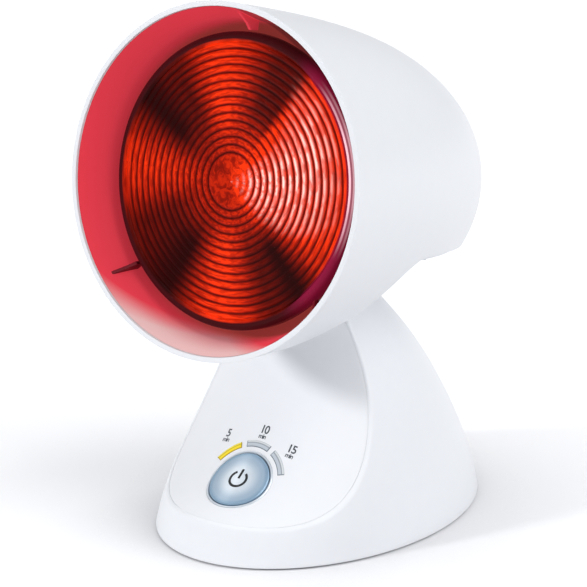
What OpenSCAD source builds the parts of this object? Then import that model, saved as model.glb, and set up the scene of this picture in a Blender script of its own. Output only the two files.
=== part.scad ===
// Infrared heat therapy lamp: a double-walled head that tilts on a scooped table base.
// Front is -Y, up is +Z and X runs across. The origin is under the middle of the whole
// outline, on the surface that the lamp stands on. The head is drawn tilted up as it rests.

/* [Head] */
// Tilt of the head's axis above the horizontal
head_tilt = 10.5; // [8:0.5:12]
// Height of the rim's centre above the table
rim_height = 161.7; // [160:0.1:165]
// Distance of the rim's centre in front of the footprint's centre
rim_reach = 75.6; // [74:0.1:78]
// Outer radius of the head at its rim
head_r = 73; // [72:0.5:74]
// Length of the head along its axis
head_depth = 164; // [163:0.5:168]
// Thickness of the head's outer casing
head_wall = 2.2; // [2:0.1:2.6]
// Thickness of the housing that wraps the lamp
tub_wall = 2; // [1.8:0.1:2.4]

/* [Lamp] */
// Radius of the pressed glass lamp
lamp_r = 61; // [60:0.5:61.5]
// Length of the lamp from its front glass to its contact
lamp_length = 136; // [134:0.5:136]
// Distance of the lamp's glass edge behind the head's rim
lamp_setback = 16; // [15.5:0.5:18]
// Spacing of the pressed rings on the front glass
ring_pitch = 3.1; // [2.6:0.1:3.2]

/* [Base] */
// Half depth of the footprint
base_r = 85.5; // [85:0.1:86]
// Width of the footprint as a part of its depth
base_aspect = 0.726; // [0.72:0.002:0.73]
// Thickness of the base casing
base_wall = 2.4; // [2.2:0.1:2.6]
// Radius of the scoop in side view
scoop_r = 88.3; // [88:0.1:88.6]
// Radius of the scoop's crown from side to side
scoop_crown_r = 98.4; // [96:0.1:100]
// Thickness of the control panel that lines the scoop
panel_t = 2.4; // [2.2:0.1:2.6]
// Width of the casing's edge left bare around the panel
panel_margin = 1; // [0.8:0.1:1.4]

/* [Hinge] */
// Distance of the tilt hinge behind the footprint's centre
hinge_y = 5; // [4.5:0.1:5.5]
// Height of the tilt hinge
hinge_z = 94; // [93.5:0.1:94.5]
// Radius of the hinge pin
pin_r = 4; // [3.5:0.1:4.5]
// Width of the lug that hangs from the head
lug_w = 14; // [13:0.5:14]
// Radius of the rounded top of the neck
neck_top_r = 14.6; // [14.2:0.1:14.8]

/* [Button] */
// Radius of the push button
button_r = 13.6; // [13:0.1:13.8]
// Travel of the push button
button_travel = 1.2; // [0.8:0.1:1.2]
// Radius of the arc on which the indicator windows lie
window_r = 18.4; // [18:0.1:18.6]

/* [Hidden] */

round_fn = 96;
tiny = 0.01;
fit_gap = 0.05;
body_gap = 0.3;

// The outline runs from the rim's lower lip to the back of the base
centre_y = 1.2;

// Head: the axis is local Z and runs back from the rim, local Y points down
// Squared radius lost along the head's length, as a cubic in the part of the length passed
taper_1 = 0.333;
taper_2 = -0.126;
taper_3 = 0.793;
lip_r = 1;
lip_inner_r = head_r - head_wall;

// Side cut of the head, as (depth behind the rim, height above the axis)
cut_path = [[74, -23.4], [50, -23.4], [48, -52], [8, -67]];
underside_drop = 2;
underside_t = 2.4;

// Inner outline of the lamp housing, as (depth, radius)
tub_path = [
    [1, head_r - head_wall - 0.2], [lamp_setback, 66.6], [24, 65], [36, 60.5], [50, 54], [62, 47],
    [72, 40.8], [84, 33], [95, 27.2], [108, 23], [122, 22.4], [148, 22]
];
pad_s = [84, 107];
pad_x = 15.5;
pad_top = -33.4;
pad_screws = [for (x = [-10.9, 10.9], s = [92, 102.5]) [x, s]];
lug_plate_t = 3;
lug_screw_l = 7.4;
web_s = 87.6;

// Lamp outline behind the glass, as (depth, radius)
lens_crown = 2.6;
lamp_tip = lamp_setback - lens_crown;
lamp_path = [
    [lamp_setback + 6, 60], [34, 56.8], [46, 51.8], [58, 45.6], [70, 38.4], [82, 31], [94, 24.6],
    [104, 20.4], [112, 18], [118, 15.6]
];
cap_r = 13.3;
cap_start = 118;
cap_end = lamp_tip + lamp_length;
guide_angles = [90, 222, 318];

// Base: half depths of the casing, as (height, half depth)
base_stations = [[0, base_r], [14, 81.7], [40, 71], [70, 55.5], [98, 36.2], [112, 26]];
aspect_fall = 0.00039;
lean_1 = 0.07;
lean_2 = 0.00187;
shell_bottom = 0.7;
plate_z = 0.9;
plate_t = 2.6;
shell_z = plate_z + plate_t;
base_sides = 48;
base_rings = 14;
base_top = 112;

scoop_y = -108.9;
scoop_z = 100;
button_angle = 35.4;
neck_slope_front = 38;
neck_slope_back = 30.5;
cheek_gap = 1;
slot_x = lug_w / 2 + cheek_gap;
cheek_t = 6;
stud_r = 1.5;
seat_z = -7.65;
cap_recess_z = -1.8;
foot_places = [[30, -58], [-30, -58], [34, 48], [-34, 48]];
screw_places = [[0, -74.5], [45, -8], [-45, -8], [22, 60], [-22, 60]];
base_screw_l = 11;
ballast_t = 4;
ballast_top = shell_z + fit_gap + ballast_t;
cord_z = 15;
cord_r = 3.6;

// Hinge in the head's own frame
hinge_s = (hinge_y + rim_reach) * cos(head_tilt) - (hinge_z - rim_height) * sin(head_tilt);
hinge_v = (hinge_y + rim_reach) * sin(head_tilt) + (hinge_z - rim_height) * cos(head_tilt);

white = [0.95, 0.96, 0.97];
warm_red = [0.78, 0.2, 0.26];
glass_red = [0.85, 0.12, 0.03];
steel = [0.72, 0.74, 0.76];
dark = [0.16, 0.17, 0.18];

// ---- Curves ----

function slope_at(p, i) =
    i == 0 ? (p[1][1] - p[0][1]) / (p[1][0] - p[0][0])
    : i == len(p) - 1 ? (p[i][1] - p[i - 1][1]) / (p[i][0] - p[i - 1][0])
    : (p[i + 1][1] - p[i - 1][1]) / (p[i + 1][0] - p[i - 1][0]);
function span_at(p, t, i = 0) = i >= len(p) - 2 || t <= p[i + 1][0] ? i : span_at(p, t, i + 1);
function hermite(u, h, a, b, da, db) =
    (2 * pow(u, 3) - 3 * u * u + 1) * a + (pow(u, 3) - 2 * u * u + u) * h * da
    + (3 * u * u - 2 * pow(u, 3)) * b + (pow(u, 3) - u * u) * h * db;
// Value at t of a smooth curve through the points p
function curve_at(p, t) =
    let (i = span_at(p, t), h = p[i + 1][0] - p[i][0])
    hermite((t - p[i][0]) / h, h, p[i][1], p[i + 1][1], slope_at(p, i), slope_at(p, i + 1));
// The same curve as (radius, depth) points, moved out by grow
function curve_points(p, grow, steps) =
    let (a = p[0][0], b = p[len(p) - 1][0])
    [for (i = [0:steps]) let (t = a + (b - a) * i / steps) [curve_at(p, t) + grow, t]];
function bezier(p, u) =
    pow(1 - u, 3) * p[0] + 3 * pow(1 - u, 2) * u * p[1]
    + 3 * (1 - u) * u * u * p[2] + pow(u, 3) * p[3];

// Radius of the head at a depth behind its rim
function taper(t) = taper_1 * t + taper_2 * t * t + taper_3 * t * t * t;
function head_radius(r, depth, s) = r * sqrt(max(0, 1 - taper(min(1, s / depth))));
function head_outline(r, depth, from, steps) = [
    for (i = [0:steps])
        let (s = from + (depth - from) * sin(90 * i / steps))
        [head_radius(r, depth, s), s]
];

// ---- Frames and helpers ----

module head_frame() {
    translate([0, -rim_reach, rim_height]) rotate([-90 - head_tilt, 0, 0]) children();
}

// Turns a drawing of (depth, height) into a slab across the head
module head_slab(w) {
    rotate([0, 0, 180]) rotate([0, -90, 0]) linear_extrude(w, center = true) children();
}

module panel_frame() {
    translate([0, scoop_y + scoop_r * sin(button_angle), scoop_z - scoop_r * cos(button_angle)])
        rotate([button_angle, 0, 0]) children();
}

module hinge_frame() {
    translate([0, hinge_y, hinge_z]) children();
}

module across(w, r) {
    rotate([0, 90, 0]) cylinder(h = w, r = r, center = true, $fn = round_fn);
}

// Screw with a domed head, its head's underside at z = 0 and its thread below
module screw(r, l) {
    translate([0, 0, -l]) cylinder(h = l + tiny, r = r, $fn = 24);
    difference() {
        cylinder(h = r * 1.1, r1 = r * 2, r2 = r * 1.5, $fn = 32);
        for (a = [0, 90]) rotate(a) translate([-r, -r * 0.18, r * 0.5]) cube([2 * r, r * 0.36, r]);
    }
}

// Solid of revolution between two outlines of (radius, depth) points
module shell_of(outer, inner) {
    rotate_extrude($fn = round_fn)
        polygon(concat(outer, [for (i = [len(inner) - 1:-1:0]) inner[i]]));
}

// Closed body through a row of rings, each with the same number of points
module skin(rings) {
    n = len(rings[0]);
    m = len(rings) - 1;
    sides = [for (i = [0:m - 1], j = [0:n - 1]) let (k = (j + 1) % n)
        each [[i * n + j, (i + 1) * n + j, (i + 1) * n + k], [i * n + j, (i + 1) * n + k, i * n + k]]];
    first = [for (j = [1:n - 2]) [0, j, j + 1]];
    last = [for (j = [1:n - 2]) [m * n, m * n + j + 1, m * n + j]];
    polyhedron(points = [for (r = rings) each r], faces = concat(sides, first, last), convexity = 4);
}

// ---- Head ----

module head_cut(drop, reach) {
    edge = [for (i = [0:12]) bezier(cut_path, i / 12) - [0, drop]];
    head_slab(200) polygon(concat(
        [[reach, -90], [reach, -23.4 - drop]], edge, [[5, -75], [5, -90]]
    ));
}

module head_shell() {
    outer = head_outline(head_r, head_depth, lip_r, 28);
    inner_depth = head_depth - head_wall * 1.15;
    inner = head_outline(lip_inner_r + tiny, inner_depth, lip_r, 28);
    lip = [
        for (a = [0:15:90])
            [head_r - lip_r + lip_r * sin(a), lip_r - lip_r * cos(a)]
    ];
    color(white) head_frame() difference() {
        rotate_extrude($fn = round_fn) polygon(concat(
            [[lip_inner_r, 0.2], [lip_inner_r + 0.2, 0]], lip,
            [for (i = [1:len(outer) - 1]) outer[i]],
            [for (i = [len(inner) - 1:-1:0]) inner[i]]
        ));
        head_cut(0, 190);
    }
}

// Housing round the lamp: a lit collar in front, then a heat shield that narrows to the holder
module lamp_tub() {
    inner = curve_points(tub_path, 0, 24);
    outer = [for (p = curve_points(tub_path, tub_wall, 24))
        [min(p[0], head_radius(lip_inner_r, head_depth - head_wall * 1.15, p[1]) - 0.15), p[1]]];
    middle = [for (p = curve_points(tub_path, tub_wall / 2, 24)) p];
    color(warm_red) head_frame() {
        difference() {
            union() {
                shell_of(outer, inner);
                difference() {
                    translate([-pad_x, 20, pad_s[0]])
                        cube([2 * pad_x, -pad_top - 20, pad_s[1] - pad_s[0]]);
                    rotate_extrude($fn = round_fn) polygon(concat([[0, 1]], middle, [[0, 148]]));
                }
            }
            for (p = pad_screws) translate([p[0], -pad_top + tiny, p[1]]) rotate([90, 0, 0])
                cylinder(h = lug_screw_l - lug_plate_t + 0.5, r = stud_r, $fn = 24);
        }
        for (a = guide_angles) rotate([0, 0, -a]) lamp_guide();
    }
}

// Fin that centres the lamp in the collar
module lamp_guide() {
    rotate([90, 0, 0]) linear_extrude(1.4, center = true)
        polygon([[70.4, 6], [68.6, 20.5], [61.6, 20.5], [61.6, 15], [64.4, 13.6]]);
}

// Cover that closes the space between casing and housing along the side cut
module head_underside() {
    room = head_outline(lip_inner_r - 0.25, head_depth - head_wall * 1.15 - 0.4, lip_r, 28);
    tub = curve_points(tub_path, tub_wall + 0.3, 24);
    low = [for (i = [0:12]) bezier(cut_path, i / 12) - [0, underside_drop * (1 - i / 12)]];
    high = [for (i = [12:-1:0]) low[i] + [0, underside_t]];
    rear = head_depth + 4;
    color(white) head_frame() difference() {
        intersection() {
            rotate_extrude($fn = round_fn) polygon(concat([[0, lip_r]], room));
            head_slab(200) polygon(concat(
                [[rear, low[0][1]]], low, high, [[rear, low[0][1] + underside_t]]
            ));
        }
        rotate_extrude($fn = round_fn) polygon(concat([[0, 1]], tub, [[0, 148]]));
        translate([-pad_x - 0.4, 15, pad_s[0] - 0.4])
            cube([2 * pad_x + 0.8, 20, pad_s[1] - pad_s[0] + 0.8]);
        for (i = [-3:3])
            translate([i * 6 - 1.1, 18, 116]) cube([2.2, 12, 24 - 1.2 * abs(i)]);
        for (x = [-1, 1]) translate([x * 49, 18, 86]) rotate([-90, 0, 0])
            cylinder(h = 12, r = stud_r + fit_gap, $fn = 24);
        for (x = [-1, 1]) translate([x * 31, 18, 122]) rotate([-90, 0, 0])
            cylinder(h = 12, r = stud_r + fit_gap, $fn = 24);
    }
}

module underside_screws() {
    depth = 23.4 + underside_drop + fit_gap;
    color(steel) head_frame() {
        for (x = [-1, 1]) translate([x * 49, depth, 86]) rotate([-90, 0, 0]) screw(stud_r, 7);
        for (x = [-1, 1]) translate([x * 31, depth, 122]) rotate([-90, 0, 0]) screw(stud_r, 7);
    }
}

// ---- Lamp ----

// Pressed glass front: a shallow dome with V-shaped rings and a rounded bead round its edge
module lamp_lens() {
    dome_r = (pow(lamp_r, 2) + pow(lens_crown, 2)) / (2 * lens_crown);
    first_ring = 10.8;
    ring_count = 14;
    half = 0.6;
    depth = 0.6;
    glass_t = 3.4;
    rings = [for (i = [0:ring_count - 1]) first_ring + i * ring_pitch];
    front = [for (r = rings) each [
        [r - half, dome_z(dome_r, r - half)],
        [r, dome_z(dome_r, r) + depth],
        [r + half, dome_z(dome_r, r + half)]
    ]];
    bead = [
        [lamp_r - 4.6, lens_crown + 0.2], [lamp_r - 3.6, lens_crown - 1], [lamp_r - 2, lens_crown - 1.3],
        [lamp_r - 0.6, lens_crown - 0.6], [lamp_r, lens_crown + 0.8], [lamp_r, lens_crown + 4.4],
        [lamp_r - 0.8, lens_crown + 5.8], [lamp_r - 4.6, lens_crown + 5.8]
    ];
    back = [for (r = [50, 40, 30, 20, 10, 0]) [r, dome_z(dome_r, r) + glass_t]];
    color(glass_red) head_frame() translate([0, 0, lamp_tip]) rotate_extrude($fn = round_fn)
        polygon(concat([[0, 0], [5, 0.04]], front, bead, back));
}
function dome_z(dome_r, r) = dome_r - sqrt(dome_r * dome_r - r * r);

module lamp_reflector() {
    outer = curve_points(lamp_path, 0, 20);
    inner = [for (p = outer) [p[0] - 2.4, p[1]]];
    color([0.8, 0.79, 0.78]) head_frame() shell_of(outer, inner);
}

module lamp_filament() {
    color([0.4, 0.4, 0.42]) head_frame() {
        for (x = [-7, 7]) translate([x, 0, 80]) cylinder(h = 38, r = 0.6, $fn = 16);
        translate([0, 0, 112]) cylinder(h = 5.9, r = 9, $fn = 32);
        translate([0, 0, 79]) rotate_extrude(angle = 180, $fn = 32) translate([7, 0]) circle(r = 1.1, $fn = 16);
    }
}

module lamp_cap() {
    thread_pitch = 3.6;
    color([0.83, 0.7, 0.42]) head_frame() {
        translate([0, 0, cap_start]) rotate_extrude($fn = 64) polygon(concat(
            [[0, 0], [cap_r, 0]],
            [for (i = [0:5], k = [0, 1])
                [cap_r - (k == 0 ? 0.9 : 0), 2 + thread_pitch * (i + k / 2)]],
            [[cap_r - 0.9, 25.5], [8, 29], [5, 29.2], [4.6, cap_end - cap_start], [0, cap_end - cap_start]]
        ));
    }
}

module lamp_holder() {
    color([0.93, 0.92, 0.88]) head_frame() difference() {
        union() {
            translate([0, 0, 122]) cylinder(h = 28, r = 17.5, $fn = 64);
            translate([0, 0, 150 - tiny]) cylinder(h = 4, r = 15, $fn = 64);
        }
        translate([0, 0, 121]) cylinder(h = cap_end - 121 + 0.1, r = cap_r + 0.3, $fn = 64);
        for (x = [-8, 8]) translate([x, 0, 149]) cylinder(h = 6, r = 1.4, $fn = 24);
    }
}

module holder_bracket() {
    color(steel) head_frame() difference() {
        union() {
            translate([0, 0, 154]) cylinder(h = 1.2, r = 19.8, $fn = 64);
            for (a = [0, 180]) rotate(a) translate([18.6, -5, 148]) cube([1.5, 10, 7.2]);
            for (a = [0, 180]) rotate(a) translate([18.6, -5, 148]) cube([4.2, 10, 1.2]);
        }
        for (x = [-8, 8]) translate([x, 0, 153]) cylinder(h = 4, r = 2, $fn = 24);
    }
}

module thermal_cutout() {
    color(dark) head_frame() translate([0, -22.8, 128]) {
        translate([-7, -7.5, -5]) cube([14, 5, 10]);
        for (x = [-4, 4]) translate([x - 1, -5.5, 5]) cube([2, 0.8, 7]);
        translate([-9, -2.5, -4]) cube([18, 0.8, 8]);
    }
}

// Leads between the thermal cut-out, the lamp holder and the tilt lug
module lamp_leads() {
    color([0.75, 0.73, 0.7]) head_frame() {
        for (x = [-8, 8]) {
            translate([x, 0, 150]) cylinder(h = 7, r = 1.1, $fn = 16);
            translate([x, 0, 157]) sphere(r = 1.1, $fn = 16);
        }
        translate([-8, 0, 157]) rotate([0, 90, 0]) cylinder(h = 16, r = 1.1, $fn = 16);
    }
}

// ---- Tilt joint ----

// Lug that hangs from the housing into the neck, with detent notches round its eye
module tilt_lug() {
    eye_r = 9;
    notch_r = 1.3;
    pad_d = -pad_top;
    color([0.82, 0.84, 0.86]) head_frame() difference() {
        union() {
            translate([0, -hinge_v, hinge_s]) across(lug_w, eye_r);
            translate([-lug_w / 2, pad_d + 1, web_s])
                cube([lug_w, -hinge_v - pad_d - 1, hinge_s + 7 - web_s]);
            translate([-pad_x + 0.5, pad_d + fit_gap, web_s])
                cube([2 * pad_x - 1, lug_plate_t - fit_gap, pad_s[1] - web_s - 0.5]);
        }
        translate([0, -hinge_v, hinge_s]) across(lug_w + 2, pin_r + fit_gap);
        for (i = [-2:2])
            translate([0, -hinge_v, hinge_s]) rotate([-10 * i, 0, 0])
                translate([0, eye_r + 0.5, 0]) across(lug_w + 2, notch_r);
        for (p = pad_screws) translate([p[0], pad_d - 1, p[1]]) rotate([-90, 0, 0]) {
            cylinder(h = 6, r = stud_r + fit_gap, $fn = 24);
            translate([0, 0, lug_plate_t - 0.6]) cylinder(h = 1.7, r1 = stud_r, r2 = 3.2, $fn = 32);
        }
    }
}

// Countersunk screws, flush with the lug's plate
module lug_screws() {
    color(steel) head_frame() for (p = pad_screws)
        translate([p[0], -pad_top + lug_plate_t - fit_gap, p[1]]) rotate([-90, 0, 0])
            difference() {
                union() {
                    translate([0, 0, -lug_screw_l]) cylinder(h = lug_screw_l, r = stud_r - fit_gap, $fn = 24);
                    translate([0, 0, -1.4]) cylinder(h = 1.4, r1 = stud_r - fit_gap, r2 = 2.9, $fn = 32);
                }
                for (a = [0, 90]) rotate(a) translate([-1.5, -0.3, -0.8]) cube([3, 0.6, 1]);
            }
}

module friction_washers() {
    color([0.3, 0.31, 0.33]) hinge_frame() for (side = [-1, 1])
        translate([side * (lug_w / 2 + 0.36), 0, 0]) difference() {
            across(0.7, 8);
            across(2, pin_r + fit_gap);
        }
}

module hinge_pin() {
    reach = slot_x + cheek_t;
    color(steel) hinge_frame() {
        across(2 * reach + 3, pin_r);
        translate([-reach - 1.2, 0, 0]) across(2, pin_r + 2.5);
    }
}

module pin_clip() {
    color(dark) hinge_frame() translate([slot_x + cheek_t + 0.7, 0, 0]) rotate([0, 90, 0])
        difference() {
            cylinder(h = 1, r = pin_r + 2.6, center = true, $fn = 48);
            cylinder(h = 2, r = pin_r + 0.02, center = true, $fn = 48);
            translate([0, -1.6, -1]) cube([12, 3.2, 2]);
        }
}

// Clevis inside the neck that carries the hinge pin
module neck_yoke() {
    eye_r = 10.2;
    reach = slot_x + cheek_t;
    color([0.8, 0.82, 0.84]) difference() {
        union() {
            for (side = [-1, 1]) hinge_frame() {
                translate([side * (slot_x + cheek_t / 2), 0, 0]) across(cheek_t, eye_r);
                translate([side * (slot_x + cheek_t / 2) - cheek_t / 2, -eye_r, -30])
                    cube([cheek_t, 2 * eye_r, 30]);
            }
            hinge_frame() translate([-reach, -eye_r, -32]) cube([2 * reach, 2 * eye_r, 12]);
            hinge_frame() translate([-24, -eye_r, -32]) cube([48, 2 * eye_r, 4]);
        }
        hinge_frame() across(2 * reach + 4, pin_r + 0.02);
        for (x = [-19, 19]) hinge_frame() translate([x, 0, -34]) cylinder(h = 8, r = stud_r + 0.2, $fn = 24);
    }
}

module yoke_screws() {
    color(steel) hinge_frame() for (x = [-19, 19]) translate([x, 0, -28 + fit_gap]) screw(stud_r, 10);
}

// Leaf spring whose bump faces the notches of the lug
module detent_spring() {
    color(steel) hinge_frame() {
        translate([-6, -9, -19.9]) cube([12, 18, 0.5]);
        for (side = [-1, 1]) translate([-5, side * 8.2 - 0.3, -19.9]) cube([10, 0.6, 8.4]);
        translate([-5, -8.5, -12]) cube([10, 17, 0.5]);
        translate([0, 0, -11.6]) difference() {
            across(10, 2);
            translate([-8, -3, -4]) cube([16, 6, 4]);
        }
    }
}

// ---- Base ----

function half_depth(z) = curve_at(base_stations, z);
function half_width(z) = (base_aspect - aspect_fall * z) * half_depth(z);
function lean(z) = lean_1 * z - lean_2 * z * z;
function base_outline(z, inset) = [
    for (i = [0:base_sides - 1])
        let (a = 360 * i / base_sides)
        [(half_width(z) - inset) * cos(a), (half_depth(z) - inset) * sin(a) + lean(z)]
];
function raise(points, z) = [for (p = points) [p[0], p[1], z]];

// The base's rounded body between two heights, its sides moved in by inset
module base_form(inset, from, to) {
    skin([
        for (i = [0:base_rings]) let (z = from + (to - from) * i / base_rings)
            raise(base_outline(z, inset), z)
    ]);
}

// Everything in front of a surface that lies grow behind the scoop
module scoop(grow) {
    r = scoop_r + grow;
    half = 64;
    translate([0, scoop_y, scoop_z]) rotate([0, 90, 0]) rotate_extrude($fn = 160) difference() {
        translate([0, -half]) square([r + 24, 2 * half]);
        translate([r + scoop_crown_r, 0]) circle(r = scoop_crown_r, $fn = 160);
    }
}

// Space under the neck's rounded top, which is moved down by inset
module neck_limit(inset) {
    r = neck_top_r - inset;
    front = 90 + neck_slope_front;
    back = 90 - neck_slope_back;
    arc = [for (i = [0:10]) let (a = back + (front - back) * i / 10) r * [cos(a), sin(a)]];
    hinge_frame() rotate([90, 0, 90]) linear_extrude(140, center = true) polygon(concat(
        [arc[0] + 120 * [sin(back), -cos(back)]], arc,
        [arc[10] + 120 * [-sin(front), cos(front)], [-130, -130], [130, -130]]
    ));
}

// Post for a base screw, with a rib out to the casing's wall
module screw_post(p) {
    translate([p[0], p[1], shell_z]) {
        cylinder(h = 16, r = 4.2, $fn = 24);
        rotate(abs(p[1]) > 40 ? sign(p[1]) * 90 : p[0] > 0 ? 0 : 180)
            translate([0, -1.2, 0]) cube([24, 2.4, 16]);
    }
}

module base_shell() {
    color(white) difference() {
        intersection() {
            base_form(0, shell_bottom, base_top);
            neck_limit(0);
        }
        difference() {
            intersection() {
                base_form(base_wall, shell_bottom - 1, base_top - 1);
                neck_limit(base_wall);
            }
            for (p = screw_places) screw_post(p);
            for (side = [-1, 1]) translate([side * 19, hinge_y, hinge_z - 46]) {
                cylinder(h = 13.9, r = 4, $fn = 24);
                translate([side > 0 ? 0 : -30, -1.5, 0]) cube([30, 3, 13.9]);
            }
        }
        for (p = screw_places) translate([p[0], p[1], 0]) cylinder(h = 15.5, r = stud_r, $fn = 24);
        for (x = [-19, 19]) translate([x, hinge_y, hinge_z - 44]) cylinder(h = 14, r = stud_r, $fn = 24);
        scoop(0);
        intersection() {
            scoop(panel_t + 0.1);
            base_form(panel_margin, shell_z + 6, base_top - 1);
        }
        translate([-slot_x, -11.5, hinge_z - 6]) cube([2 * slot_x, 32, 40]);
        translate([0, 60, cord_z]) rotate([-90, 0, 0]) cylinder(h = 40, r = 6.1, $fn = 32);
    }
}

module front_panel() {
    gap = 0.12;
    color([0.97, 0.97, 0.98]) difference() {
        intersection() {
            base_form(panel_margin + gap, shell_z + 6 + gap, base_top - 1);
            neck_limit(1.4);
            difference() {
                scoop(panel_t);
                scoop(0);
            }
        }
        panel_frame() {
            translate([0, 0, -8]) cylinder(h = 16, r = button_r + 1.4, $fn = 64);
            window_arcs(0.1, -8, 16);
        }
        translate([-slot_x - 0.4, -11.5, hinge_z - 6]) cube([2 * slot_x + 0.8, 32, 40]);
    }
}

// The three arc-shaped windows, grown by g, from local height z0
module window_arcs(g, z0, h) {
    half_angle = 18;
    g_angle = g / window_r * 57.3;
    for (a = [45, 90, 135]) rotate([0, 0, a - half_angle - g_angle]) translate([0, 0, z0])
        rotate_extrude(angle = 2 * (half_angle + g_angle), $fn = 96)
            translate([window_r - 1.5 - g, 0]) square([3 + 2 * g, h]);
}

module light_windows() {
    color([0.86, 0.87, 0.84]) difference() {
        panel_frame() window_arcs(0, -5.5, 9);
        scoop(-0.05);
    }
}

// Ring round the button, with the cup below it that guides the button and seats its spring
module button_bezel() {
    color(steel) difference() {
        panel_frame() difference() {
            translate([0, 0, seat_z - 0.8]) cylinder(h = 14, r = button_r + 1.3, $fn = 96);
            translate([0, 0, seat_z]) cylinder(h = 18, r = button_r + body_gap, $fn = 96);
            translate([0, 0, seat_z - 2]) cylinder(h = 4, r = 2.6, $fn = 48);
        }
        scoop(-0.4);
    }
}

module button_cap() {
    color([0.62, 0.73, 0.83]) {
        difference() {
            panel_frame() translate([0, 0, -4]) cylinder(h = 10, r = button_r, $fn = 96);
            scoop(-1.3);
            panel_frame() translate([0, 0, -5]) cylinder(h = 5 + cap_recess_z, r = button_r - 1.8, $fn = 64);
        }
        panel_frame() translate([0, 0, -7.6]) cylinder(h = 6, r = 2.2, $fn = 32);
    }
}

module button_spring() {
    turns = 4;
    per_turn = 14;
    coil_r = 5;
    wire_r = 0.4;
    low = seat_z + wire_r;
    high = cap_recess_z - wire_r;
    color(steel) panel_frame() skin([
        for (i = [0:turns * per_turn])
            let (a = 360 * i / per_turn, z = low + (high - low) * i / (turns * per_turn))
            [for (b = [0:45:315])
                let (r = coil_r + wire_r * cos(b)) [r * cos(a), r * sin(a), z - wire_r * sin(b)]]
    ]);
}

module switch_plunger() {
    color(dark) panel_frame() translate([0, 0, -9.6]) cylinder(h = 1.95, r = 1.7, $fn = 32);
}

module switch_body() {
    color([0.3, 0.31, 0.33]) panel_frame() difference() {
        translate([-3, -3, -13]) cube([6, 6, 3.6]);
        translate([0, 0, -11.6]) cylinder(h = 3, r = 1.78, $fn = 32);
    }
}

module circuit_board() {
    color([0.12, 0.42, 0.25]) panel_frame() difference() {
        translate([-23, -13, -14.6]) cube([46, 40, 1.6]);
        for (x = [-20, 20], y = [-10, 24]) translate([x, y, -16]) cylinder(h = 4, r = 1.25, $fn = 24);
    }
}

module board_posts() {
    color(white) difference() {
        panel_frame() for (x = [-20, 20], y = [-10, 24]) difference() {
            translate([x, y, -13 + fit_gap]) cylinder(h = 16, r = 2.6, $fn = 32);
            translate([x, y, -14]) cylinder(h = 7, r = 1.1, $fn = 24);
        }
        scoop(panel_t + 0.02);
    }
}

module indicator_leds() {
    color([0.95, 0.9, 0.7]) panel_frame() for (a = [45, 90, 135])
        rotate([0, 0, a]) translate([window_r, 0, -13 + fit_gap]) {
            cylinder(h = 4.4, r = 1.5, $fn = 32);
            translate([0, 0, 4.4]) sphere(r = 1.5, $fn = 32);
            cylinder(h = 0.8, r = 1.9, $fn = 32);
        }
}

module timer_relay() {
    color([0.16, 0.3, 0.55]) panel_frame() translate([-19, 4, -23.4]) cube([16, 14, 8.7]);
}

module capacitor() {
    color([0.25, 0.26, 0.3]) panel_frame() translate([9, 12, -26]) cylinder(h = 11.3, r = 5, $fn = 48);
}

module terminal_block() {
    color([0.2, 0.5, 0.35]) difference() {
        translate([-13, 38, ballast_top + fit_gap]) cube([26, 12, 11]);
        for (x = [-8, 0, 8]) {
            translate([x, 44, 14]) cylinder(h = 8, r = 2.2, $fn = 24);
            translate([x, 36, 13]) rotate([-90, 0, 0]) cylinder(h = 16, r = 1.8, $fn = 24);
        }
    }
}

module bottom_plate() {
    color([0.45, 0.47, 0.5]) difference() {
        translate([0, 0, plate_z]) linear_extrude(plate_t - 0.05)
            polygon(base_outline(shell_z, base_wall + 0.15));
        for (p = foot_places) translate([p[0], p[1], plate_z - 1]) cylinder(h = 2, r = 7.1, $fn = 48);
        for (p = screw_places) translate([p[0], p[1], plate_z - 1]) {
            cylinder(h = 8, r = stud_r + 0.2, $fn = 32);
            cylinder(h = 2.4, r = 3.4, $fn = 32);
        }
    }
}

module rubber_feet() {
    color(dark) for (p = foot_places) translate([p[0], p[1], 0]) rotate_extrude($fn = 64)
        polygon([[0, 0], [6, 0], [6.6, 0.3], [7, 0.9], [7, plate_z + 1 - fit_gap], [0, plate_z + 1 - fit_gap]]);
}

module base_screws() {
    color(steel) for (p = screw_places) translate([p[0], p[1], plate_z + 1.35]) rotate([180, 0, 0])
        difference() {
            screw(stud_r - fit_gap, base_screw_l);
            translate([-4, -4, 1.3]) cube([8, 8, 4]);
        }
}

module ballast_plate() {
    color([0.5, 0.51, 0.53]) difference() {
        translate([0, 0, shell_z + fit_gap]) linear_extrude(ballast_t)
            polygon([for (p = base_outline(0, 22)) [p[0], p[1] + 3]]);
        for (p = screw_places) translate([p[0], p[1], 0]) cylinder(h = 20, r = 5, $fn = 32);
    }
}

module cord_bush() {
    color(dark) translate([0, 0, cord_z]) rotate([-90, 0, 0]) difference() {
        union() {
            translate([0, 0, 74]) cylinder(h = 11, r = 6, $fn = 48);
            translate([0, 0, 73.4]) cylinder(h = 2.4, r = 8, $fn = 48);
            translate([0, 0, 84.1]) cylinder(h = 1.4, r1 = 7.6, r2 = 6.8, $fn = 48);
        }
        translate([0, 0, 70]) cylinder(h = 20, r = cord_r, $fn = 48);
    }
}

module placed() {
    translate([0, centre_y, 0]) children();
}

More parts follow.
